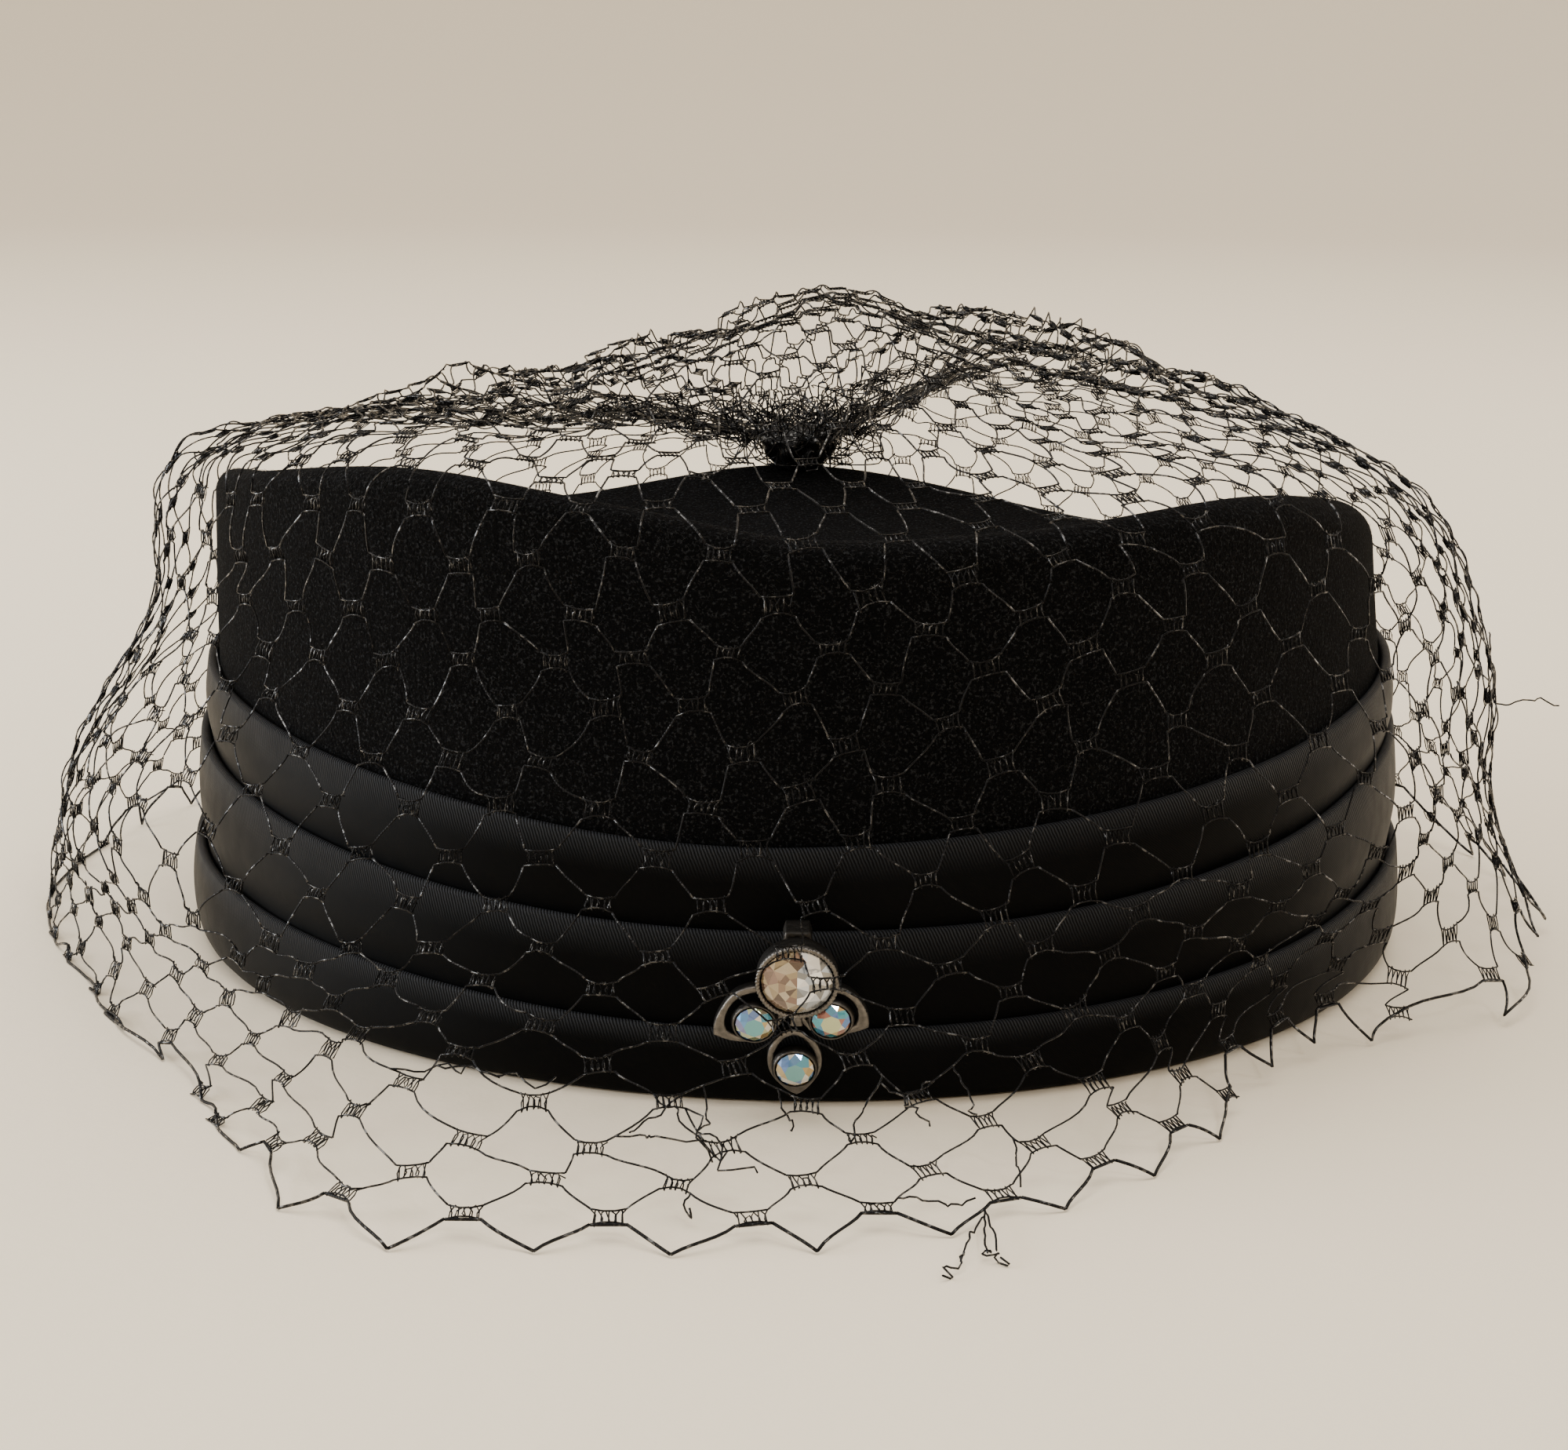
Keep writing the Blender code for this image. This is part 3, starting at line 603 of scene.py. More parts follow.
def metal_material():
    """Cast white metal, bright where wear has polished its raised edges and dull and dark between them; the tab's left
    side is painted bright as a highlight.
    """
    colour = tuple(colours().metal)
    material, tree, shader = new_material("antique setting", Metallic=1.0)
    wear_and_tab_highlight = attribute(tree, "WearAndTabHighlight")
    stains = grain(tree, 900.0, 0.35, 0.65)
    rubbed_and_highlit = product(tree, wear_and_tab_highlight, mix_value(tree, stains, 1.0, 0.55))
    base = mix_colour(tree, rubbed_and_highlit, scaled(colour, 0.12), scaled(colour, 1.15))
    tree.links.new(base, shader.inputs["Base Color"])
    tree.links.new(mix_value(tree, rubbed_and_highlit, 0.46, 0.26), shader.inputs["Roughness"])
    add_bump(tree, shader, grain(tree, 1500.0, 0.3, 0.7), 0.00012, 0.5)
    return material


def stone_material(name, tones, roughness):
    """Foiled glass, each facet with its own tone, painted as the light it reflects. tones are pairs of a place from 0
    to 1 and a colour.
    """
    material, tree, shader = new_material(
        name, Roughness=roughness, Metallic=0.6, Coat_Weight=1.0, Coat_Roughness=0.02, Coat_IOR=1.6
    )
    ramp = tree.nodes.new("ShaderNodeValToRGB")
    marks = ramp.color_ramp.elements
    while len(marks) < len(tones):
        marks.new(0.5)
    for mark, (place, colour) in zip(marks, tones):
        mark.position = place
        mark.color = (*colour, 1.0)
    tree.links.new(attribute(tree, "Tone"), ramp.inputs["Fac"])
    tree.links.new(ramp.outputs["Color"], shader.inputs["Base Color"])
    return material


# The floor's colour far from the hat, where it rises as a backdrop
FLOOR_FAR = (0.95, 0.865, 0.725)


def floor_material():
    """A plain pale matt floor with a faint mottle."""
    colour = tuple(colours().floor)
    material, tree, shader = new_material("pale floor", Roughness=0.9, Specular_IOR_Level=0.2)
    base = mix_colour(tree, attribute(tree, "Rise"), colour, FLOOR_FAR)
    tree.links.new(base, shader.inputs["Base Color"])
    add_bump(tree, shader, grain(tree, 260.0, 0.3, 0.7), 0.0002, 0.2)
    return material


# Felt crown

CROWN_COLUMNS = 384
WALL_ROWS, EDGE_ROWS, DISH_ROWS = 30, 14, 30
FELT = 0.0022


def crown_grid(azimuth):
    """The crown's outer skin at azimuths, from its bottom edge over the top edge to the middle of its dish."""
    rim = rim_height(azimuth)
    radius = TOP_EDGE_RADIUS * around("edge", azimuth)
    lean = TOP_LEAN * around("lean", azimuth)
    fold_top = FOLDS[0].top * around("upper", azimuth)
    wall_top = rim - radius
    rows = []
    for share in np.linspace(0, 1, WALL_ROWS):
        height = wall_top * share
        above = np.clip((height - fold_top) / (wall_top - fold_top), 0, 1)
        soft = 0.00022 * waves(azimuth, height, FELT_WAVE) * np.clip(above * 4, 0, 1)
        rows.append(oval_points(azimuth, -lean * above * (1.1 - 0.1 * above) + soft, height))
    reach = np.linalg.norm((oval_points(azimuth, -lean - radius, 0) - CENTRE)[..., :2], axis=-1)
    last = np.pi / 2 + np.arctan(np.maximum(DISH_STEEPNESS * (rim - DISH_HEIGHT) / reach, 0))
    for share in np.linspace(0, 1, EDGE_ROWS + 1)[1:]:
        angle = last * share
        rows.append(oval_points(azimuth, -lean - radius * (1 - np.cos(angle)), wall_top + radius * np.sin(angle)))
    inner = rows[-1]
    for share in np.linspace(1, 0.02, DISH_ROWS)[1:]:
        point = CENTRE + (inner - CENTRE) * share
        soft = 0.0005 * waves(azimuth, share * 0.09, DISH_WAVE) * share * (1 - share) * 4
        point[..., 2] = DISH_HEIGHT + (inner[..., 2] - DISH_HEIGHT) * share**DISH_STEEPNESS + soft
        rows.append(point)
    return np.stack(rows, axis=1)


def build_crown():
    """The felt crown. Gives the grid of its outer skin."""
    azimuth = 360 * np.arange(CROWN_COLUMNS) / CROWN_COLUMNS
    points = crown_grid(azimuth)
    rows = points.shape[1]
    flat = np.concatenate([points.reshape(-1, 3), [CENTRE + (0, 0, DISH_HEIGHT)]])
    quads = grid_faces(CROWN_COLUMNS, rows)
    this = np.arange(CROWN_COLUMNS)
    last = np.stack([this * rows + rows - 1, (this + 1) % CROWN_COLUMNS * rows + rows - 1], axis=-1)
    centre = np.full((CROWN_COLUMNS, 1), len(flat) - 1)
    mesh = mesh_from("crown_felt", flat, quads, np.concatenate([last, centre], axis=-1))
    crown = add_piece("crown_felt", mesh, felt_material(), ["crown"])
    wall = crown.modifiers.new("Felt wall", "SOLIDIFY")
    wall.thickness = FELT
    wall.offset = -1
    return points


# The nap: where it starts on the wall, the share of it on the top edge, and its fibres' radius and taper
NAP_START = 0.42
NAP_ON_EDGE = 0.45
FIBRE_RADIUS = 0.000016
FIBRE_TAPER = (1.0, 0.8, 0.35)


def build_nap(points, material):
    """Short loose fibres over the felt that shows: above the folds, along the top edge and in the dish."""
    rng = np.random.default_rng(11)
    count = sizes().nap_fibres
    columns, rows = points.shape[:2]
    column = rng.uniform(0, columns, count)
    row = rng.uniform(WALL_ROWS * NAP_START, rows - 6, count)
    crest = rng.random(count) < NAP_ON_EDGE
    row[crest] = rng.uniform(WALL_ROWS - 2, WALL_ROWS + EDGE_ROWS, crest.sum())
    c0, r0 = column.astype(int), row.astype(int)
    c1, r1 = (c0 + 1) % columns, np.minimum(r0 + 1, rows - 1)
    across, down = (column - c0)[:, None], (row - r0)[:, None]
    p00, p10, p01, p11 = points[c0, r0], points[c1, r0], points[c0, r1], points[c1, r1]
    root = (p00 * (1 - across) + p10 * across) * (1 - down) + (p01 * (1 - across) + p11 * across) * down
    side, rise = unit(p10 - p00), unit(p01 - p00)
    out = unit(np.cross(side, rise))
    turn = rng.uniform(0, 2 * np.pi, (count, 1))
    lying = np.cos(turn) * side + np.sin(turn) * rise
    bend = np.cross(out, lying) * rng.uniform(-0.5, 0.5, (count, 1))
    length = sizes().nap_length * rng.uniform(0.35, 1.0, (count, 1)) ** 1.3
    lift = rng.uniform(0.05, 0.5, (count, 1)) ** 1.5
    path = []
    for share in (0.0, 0.5, 1.0):
        flat = lying * share + bend * share**2
        path.append(root + (flat + out * lift * (share * 1.5 - share**2 * 0.6)) * length - out * 0.00002)
    fibres = (np.stack(path, axis=1), FIBRE_RADIUS)
    mesh = tube_mesh("felt_nap", fibres, reference=FIBRE_REFERENCE, taper=FIBRE_TAPER)
    add_piece("felt_nap", mesh, material)


# Satin folds

FOLD_COLUMNS = 384
# The outline's points up a fold's face and over its rolled edge
FACE_POINTS, ROLL_POINTS = 17, 11


def fold_offsets(index):
    """How far outward of the felt a fold's tucked edge starts, its rolled edge ends and its bottom lies."""
    inside = SEAT_GAP + index * (SATIN - FOLD_LEAN + SEAT_GAP)
    return inside, inside + SATIN, inside + SATIN - FOLD_LEAN


def fold_outline(index, azimuth):
    """A fold's outline: up its face, over its rolled edge, down its back and under. Gives points, shares and metres."""
    fold = FOLDS[index]
    top = fold.top * around(fold.column, azimuth)
    lowest = index + 1 == len(FOLDS)
    if lowest:
        bottom = np.full_like(top, SEAT_GAP)
    else:
        bottom = FOLDS[index + 1].top * around(FOLDS[index + 1].column, azimuth) - TUCK
    inside, outside, low_outside = fold_offsets(index)
    roll = SATIN / 2
    outline = []
    wobble = 0.00016 * waves(azimuth, 0.0, FOLD_WOBBLE, index)
    for share in np.linspace(0, 1, FACE_POINTS):
        height = bottom + (top - roll - bottom) * share
        if lowest:
            offset = outside - 0.0013 * np.exp(-((height - bottom) / 0.0013)) + 0 * azimuth
        else:
            shown = np.clip((height - bottom - TUCK) / (top - roll - bottom - TUCK), 0, 1)
            offset = low_outside + (outside - low_outside) * np.clip(shown * 1.7, 0, 1)
        belly = fold.belly * np.sin(np.pi * share) * (1 if lowest else np.clip((share - 0.2) * 3, 0, 1))
        drape = 0.00013 * waves(azimuth, share * 0.012, FOLD_DRAPE, index) * np.sin(np.pi * share)
        ribbed = np.clip(share * 4 - 3, 0, 1) ** 1.5
        outline.append((offset + belly + drape + wobble * share, height, ribbed))
    for angle in np.linspace(0, np.pi, ROLL_POINTS)[1:]:
        rolled = np.sin(max(angle, np.pi / 2)) ** 0.5
        height = top - roll + (roll * 1.02) * np.sin(angle) + wobble * 0.6
        outline.append((inside + roll + roll * np.cos(angle) + wobble, height, rolled))
    ledge = top - TUCK - SEAT_GAP
    if index:
        outline += [(inside + 0 * top, ledge, 0.0), (SEAT_GAP + 0 * top, ledge - SEAT_GAP, 0.0)]
        outline.append((SEAT_GAP + 0 * top, bottom, 0.0))
    else:
        outline += [(inside + 0 * top, (bottom + top) / 2, 0.0), (inside + 0 * top, bottom, 0.0)]
    points = np.stack([oval_points(azimuth, offset, height) for offset, height, _ in outline], axis=1)
    return points, np.array([rolled for _, _, rolled in outline])


def build_fold(index, material):
    azimuth = 360 * np.arange(FOLD_COLUMNS) / FOLD_COLUMNS
    points, rolled = fold_outline(index, azimuth)
    size = points.shape[1]
    name = FOLDS[index].node.replace("fold", "satin_fold")
    # The map's seam is at the back: one more column there, which closes on the first
    start = FOLD_COLUMNS // 2
    order = np.arange(FOLD_COLUMNS + 1)
    shown = points[(start + order) % FOLD_COLUMNS]
    along, up = lengths_along(shown[None, :, FACE_POINTS // 2 + 2])[0], lengths_along(shown)
    uv = np.stack([np.broadcast_to(along[:, None], up.shape), up], axis=-1)
    quads = grid_faces(FOLD_COLUMNS + 1, size, wrap_rows=False, wrap_columns=True)
    mesh = mesh_from(name, shown.reshape(-1, 3), quads, None, uv.reshape(-1, 2))
    # Rolled marks the rolled edge, where the satin's ribs show and are painted lighter as a highlight
    mark_points(mesh, "Rolled", np.tile(rolled, FOLD_COLUMNS + 1))
    piece = add_piece(name, mesh, material, [FOLDS[index].node])
    weld = piece.modifiers.new("Seam", "WELD")
    weld.merge_threshold = 1e-6


# Net veil

# Rows of net from the hem up: how far round a row's knots stand, in columns, as the net was laid on askew
ROW_DRIFT = (
    (0, 0.15),
    (4, 0.03),
    (8, -0.22),
    (11, -0.5),
    (14, -0.65),
    (16, -0.95),
    (18, -1.38),
    (22, -1.75),
    (50, -1.9),
)
# How much closer the columns stand at the front than behind, by row
FRONT_CROWDING = (
    (0, 0.08),
    (2, 0.06),
    (3, -0.05),
    (5, -0.10),
    (8, -0.07),
    (14, -0.06),
    (15.5, -0.03),
    (17, 0.08),
    (19, 0.17),
    (21, 0.16),
    (26, -0.03),
    (36, -0.45),
    (50, -0.45),
)
# The net's rows above the knee, in row pitches from it: stretched on the wall and more so over the rim
ROW_PLACES = ((8, 0), (15, 7.35), (20, 13.6), (60, 53.6))
# How much lower the rows between the hem's middle and the knee hang than evenly spaced ones
KNEE_SAG = 0.0045
# The hem's reach by azimuth, in shares of VEIL_REACH
HEM_REACH = (
    (-148, 0.70),
    (-120, 0.54),
    (-90, 0.55),
    (-64, 0.43),
    (-45, 0.52),
    (-37, 0.64),
    (-30, 0.82),
    (-24, 1.05),
    (-18, 1.15),
    (-11, 1.06),
    (0, 1.0),
    (6, 0.93),
    (12.5, 0.83),
    (18, 0.72),
    (23, 0.61),
    (28, 0.50),
    (33, 0.37),
    (42, 0.27),
    (50, 0.29),
    (55, 0.42),
    (60, 0.55),
    (66, 0.56),
    (90, 0.55),
    (120, 0.55),
    (142, 0.66),
    (180, 1.0),
)
# How tightly the rows below the knee of the skirt are pushed together, by azimuth
SQUEEZE = (
    (-180, 1.0),
    (-75, 1.0),
    (-50, 0.85),
    (-30, 0.9),
    (-12, 1.0),
    (8, 1.0),
    (24, 0.72),
    (46, 0.72),
    (62, 0.95),
    (180, 1.0),
)
# The row that runs along the knee, where the net turns from the skirt on the floor to the wall
KNEE_ROW = 8
# Torn and loose ends of thread: start, end and slack, all in mm
Strand = namedtuple("Strand", "start end slack")
TORN_ENDS = (
    Strand((21.8, -133.6, 3.0), (21.9, -145.5, 1.0), 0.3),
    Strand((22.9, -134.0, 3.0), (23.1, -145.5, 1.0), 0.4),
    Strand((21.5, -144.6, 1.0), (23.5, -147.2, 0.6), 1.4),
    Strand((21.0, -136.5, 3.0), (19.2, -146.3, 1.0), 0.6),
    Strand((19.2, -146.3, 1.0), (16.4, -152.1, 0.6), 0.8),
    Strand((12.6, -134.4, 3.0), (21.2, -136.0, 3.0), 1.0),
    Strand((-13.8, -122.8, 11.1), (-20.1, -128.0, 8.1), 1.4),
    Strand((-16.5, -122.0, 11.0), (-10.0, -128.8, 7.0), 1.8),
    Strand((-12.6, -123.4, 10.5), (-6.6, -135.1, 5.6), 1.8),
    Strand((-21.6, -126.5, 8.1), (-13.3, -129.3, 8.1), 1.4),
    Strand((-10.5, -121.7, 10.3), (-10.9, -129.8, 6.4), 1.4),
    Strand((-2.6, -120.9, 10.4), (-0.2, -124.3, 7.4), 0.9),
    Strand((8.8, -117.0, 10.0), (6.5, -125.5, 7.0), 1.2),
    Strand((10.3, -116.7, 11.1), (16.4, -122.7, 8.1), 1.3),
    Strand((-13.5, -134.3, 3.0), (-12.3, -137.1, 1.0), 1.2),
    Strand((16.1, -114.4, 12.6), (12.8, -121.5, 9.6), 0.8),
    Strand((20.5, -113.8, 12.0), (22.0, -120.1, 8.0), 0.9),
    Strand((27.4, -119.8, 6.3), (27.0, -125.5, 1.3), 0.5),
    Strand((-49.7, -116.2, 12.9), (-35.8, -120.2, 12.9), 1.5),
    Strand((-43.7, -117.5, 12.8), (-29.2, -120.5, 11.9), 1.4),
    Strand((107.7, -12.7, 37.3), (116.5, -16.3, 38.6), 0.8),
    Strand((109.6, -0.8, 37.7), (109.2, -0.8, 46.3), 0.4),
    Strand((3.1, -29.9, 98.2), (1.0, -31.9, 101.2), 0.4),
    Strand((2.6, -10.0, 96.7), (4.9, -8.0, 98.2), 0.4),
    Strand((-34.5, 54.5, 76.9), (-34.6, 52.3, 82.5), 0.5),
    Strand((-96.4, 6.0, 68.1), (-95.1, 4.0, 71.6), 0.5),
)
# How much higher the rows stand at the front right, and how much lower at the front left
ROW_TILT = 0.0145
# How far down from a row to the next the net's noises are taken
ROW_STEP = 0.006
VEIL_CLEARANCE = 0.003
# How far the net stays from what it lies on. The brooch's zone is its half width, top and the reach before it.
FELT_CLEARANCE = 0.0016
FOLDS_CLEARANCE = 0.0022
LOWER_FOLD_CLEARANCE = 0.0030
FLOOR_CLEARANCE = 0.0003
BROOCH_ZONE, BROOCH_TOP, BROOCH_REACH = 0.0125, 0.034, 0.0163
# The veil's surface as a table, a column for each degree. Its curves have a count of points between stations.
TABLE_COLUMNS, TABLE_ROWS = 360, 240
PER_SPAN = 16
# A thread's points, and knots' widths, as shares of the full one, at which they have fewer loops and none
THREAD_POINTS = 7
SMALL_KNOT, BUNCHED_KNOT = 0.55, 0.3
# The tent that the net stands up in before its gather: place, height, reach to its sides, before and behind it
PEAK_PLACE = (0.0010, -0.036)
PEAK_HEIGHT = 0.0136
PEAK_SPREAD = (0.040, 0.030, 0.050)


def hem_reach(azimuth):
    """The hem's reach outward of the felt."""
    knots, values = zip(*HEM_REACH)
    azimuth = (np.asarray(azimuth, float) - knots[0]) % 360 + knots[0]
    return VEIL_REACH * np.interp(azimuth, (*knots, knots[0] + 360), (*values, values[0]))


def gather_place():
    """The bottom middle of the veil's gather, on the crown's top edge at the back."""
    radius = TOP_EDGE_RADIUS * around("edge", 180.0)
    lean = TOP_LEAN * around("lean", 180.0)
    return oval_points(180.0, -lean - radius, rim_height(180.0) + SEAT_GAP)


def veil_stations(azimuth):
    """The veil's points at azimuths, from its gather to its hem."""
    turn = np.radians(azimuth)
    neck = GATHER_RADIUS * 0.8
    height = np.full_like(turn, GATHER_HEIGHT * GATHER_WAIST)
    points = [gather_place() + np.stack([neck * np.sin(turn), -neck * np.cos(turn), height], axis=-1)]
    for row in VEIL_TOP:
        lift = CROWN_HEIGHT * row.level + four_ways(row, azimuth)
        points.append(oval_points(azimuth, 0, lift, row.spread, row.shift))
    folds_outside = fold_offsets(len(FOLDS) - 1)[1]
    for row in VEIL_SKIRT:
        lift = VEIL_CLEARANCE if row.row == "edge" else 0.0
        least = VEIL_CLEARANCE + (folds_outside if row.row == "lower_wall" else 0)
        outward = np.maximum(four_ways(row, azimuth), least)
        points.append(oval_points(azimuth, outward, rim_height(azimuth) * row.level + lift))
    hem = hem_reach(azimuth)
    foot = np.maximum(hem * four_ways(VEIL_FOOT, azimuth), folds_outside + VEIL_CLEARANCE)
    points.append(oval_points(azimuth, foot, rim_height(azimuth) * VEIL_FOOT.level))
    points.append(oval_points(azimuth, np.maximum(hem, foot), HEM_HEIGHT))
    return np.stack(points, axis=1)


def smooth_through(points, per_span):
    """A smooth curve through points along the second axis."""
    ends = np.concatenate([2 * points[:, :1] - points[:, 1:2], points, 2 * points[:, -1:] - points[:, -2:-1]], axis=1)
    share = (np.arange(per_span) / per_span)[None, None, :, None]
    p0, p1, p2, p3 = (ends[:, step : step + points.shape[1] - 1, None] for step in range(4))
    curve = (
        p1
        + (p2 - p0) * 0.5 * share
        + (p0 - 2.5 * p1 + 2 * p2 - 0.5 * p3) * share**2
        + (1.5 * p1 - 1.5 * p2 + 0.5 * p3 - 0.5 * p0) * share**3
    )
    curve = curve.reshape(len(points), -1, 3)
    return np.concatenate([curve, points[:, -1:]], axis=1)


def clear_of_hat(points):
    """Moves points that are in or too near the crown, folds or brooch outward or up."""
    flat = points.reshape(-1, 3) - CENTRE
    x, y, z = flat.T
    share = np.hypot(x / HALF_WIDTH, y / HALF_DEPTH) + 1e-9
    azimuth = np.degrees(np.arctan2(x / HALF_WIDTH, -y / HALF_DEPTH))
    radius = np.hypot(x, y) / share
    rim = rim_height(azimuth)
    upper = FOLDS[0].top * around("upper", azimuth)
    lower = FOLDS[2].top * around("lower", azimuth)
    least = FELT_CLEARANCE + FOLDS_CLEARANCE * np.clip((upper + 0.003 - z) / 0.002, 0, 1)
    least += LOWER_FOLD_CLEARANCE * np.clip((lower + 0.022 - z) / 0.012, 0, 1)
    before = (np.abs(x) < BROOCH_ZONE) & (y < 0)
    brooch = BROOCH_REACH * np.clip((BROOCH_TOP - z) / 0.004, 0, 1)
    least = np.where(before, np.maximum(least, brooch), least)
    beside = z < rim - 0.001
    wanted = 1 + least / radius
    factor = np.where(beside & (share < wanted), wanted / share, 1.0)
    x, y = x * factor, y * factor
    top = DISH_HEIGHT + (rim - DISH_HEIGHT) * np.clip(share, 0, 1) ** DISH_STEEPNESS + FELT_CLEARANCE
    z = np.where(~beside & (share < 1.02), np.maximum(z, top), z)
    z = np.maximum(z, FLOOR_CLEARANCE)
    return (np.stack([x, y, z], axis=-1) + CENTRE).reshape(points.shape)


def veil_table():
    """The veil's crumpled surface by azimuth in degrees and by share of its way from the gather to the hem."""
    azimuth = 360.0 * np.arange(TABLE_COLUMNS) / TABLE_COLUMNS
    curve = smooth_through(veil_stations(azimuth), PER_SPAN)
    length = lengths_along(curve)
    total = length[:, -1]
    knee = total - length[:, PER_SPAN * (len(VEIL_TOP) + len(VEIL_SKIRT))] + 0.0014
    shares = np.linspace(0, 1, TABLE_ROWS)
    table = np.empty((TABLE_COLUMNS, TABLE_ROWS, 3))
    for column in range(TABLE_COLUMNS):
        for axis in range(3):
            table[column, :, axis] = np.interp(shares * total[column], length[column], curve[column, :, axis])
    round_hat = np.roll(table, -1, 0) - np.roll(table, 1, 0)
    out = unit(np.cross(np.gradient(table, axis=1), round_hat))
    from_hem = (1 - shares)[None] * total[:, None]
    from_gather = shares[None] * total[:, None]
    wide = azimuth[:, None]
    front = np.clip(np.cos(np.radians(wide)), 0, 1) ** 2
    broad = waves(wide, from_hem, NET_BROAD)
    fine = waves(wide, from_hem, NET_FINE)
    pleats = waves(wide, from_hem * 0.2, NET_PLEATS)
    on_wall = np.clip(from_hem / 0.03, 0, 1) * np.clip(from_gather / 0.05, 0, 1)
    over_top = np.clip((from_hem - 0.10) / 0.04, 0, 1)
    near_gather = np.clip(1 - from_gather / 0.075, 0, 1) * np.clip(from_gather / 0.012, 0, 1)
    push = on_wall * (0.0009 * broad + 0.0006 * fine) * (1 - 0.5 * front)
    push += over_top * on_wall * (0.0013 * broad + 0.0009 * fine)
    push += near_gather * (0.0016 * pleats + 0.0008 * fine)
    table = table + out * push[..., None]
    beside = np.clip(1 - np.abs(table[..., 0] - PEAK_PLACE[0]) / PEAK_SPREAD[0], 0, 1)
    behind = table[..., 1] - PEAK_PLACE[1]
    behind = behind / np.where(behind < 0, PEAK_SPREAD[1], PEAK_SPREAD[2])
    table[..., 2] += PEAK_HEIGHT * beside * np.exp(-(behind**2)) * over_top
    return clear_of_hat(table), total, knee


def round_table(values, azimuth):
    """The values of a list by whole degrees of azimuth, between them."""
    return np.interp(np.asarray(azimuth) % 360, np.arange(TABLE_COLUMNS + 1), np.append(values, values[0]))


def look_up(table, azimuth, share):
    """Points of the veil's table at azimuths and shares."""
    at = np.asarray(azimuth) % 360 / 360 * TABLE_COLUMNS
    row = np.clip(share, 0, 1) * (TABLE_ROWS - 1)
    c0, r0 = np.floor(at).astype(int) % TABLE_COLUMNS, np.clip(np.floor(row).astype(int), 0, TABLE_ROWS - 2)
    across, down = (at - np.floor(at))[..., None], (row - r0)[..., None]
    c1 = (c0 + 1) % TABLE_COLUMNS
    upper = table[c0, r0] * (1 - across) + table[c1, r0] * across
    lower = table[c0, r0 + 1] * (1 - across) + table[c1, r0 + 1] * across
    return upper * (1 - down) + lower * down


def hem_rows(wanted, halves):
    """The row of the net that the hem runs along at each half column, one up or down at a time, near those wanted."""
    rows = [int(round(wanted[0] / 2)) * 2]
    for half in range(1, halves):
        low, high = rows[-1] - 1, rows[-1] + 1
        target = wanted[half] + 0.5
        rows.append(high if low < 0 or abs(high - target) < abs(low - target) else low)
    return np.array(rows)


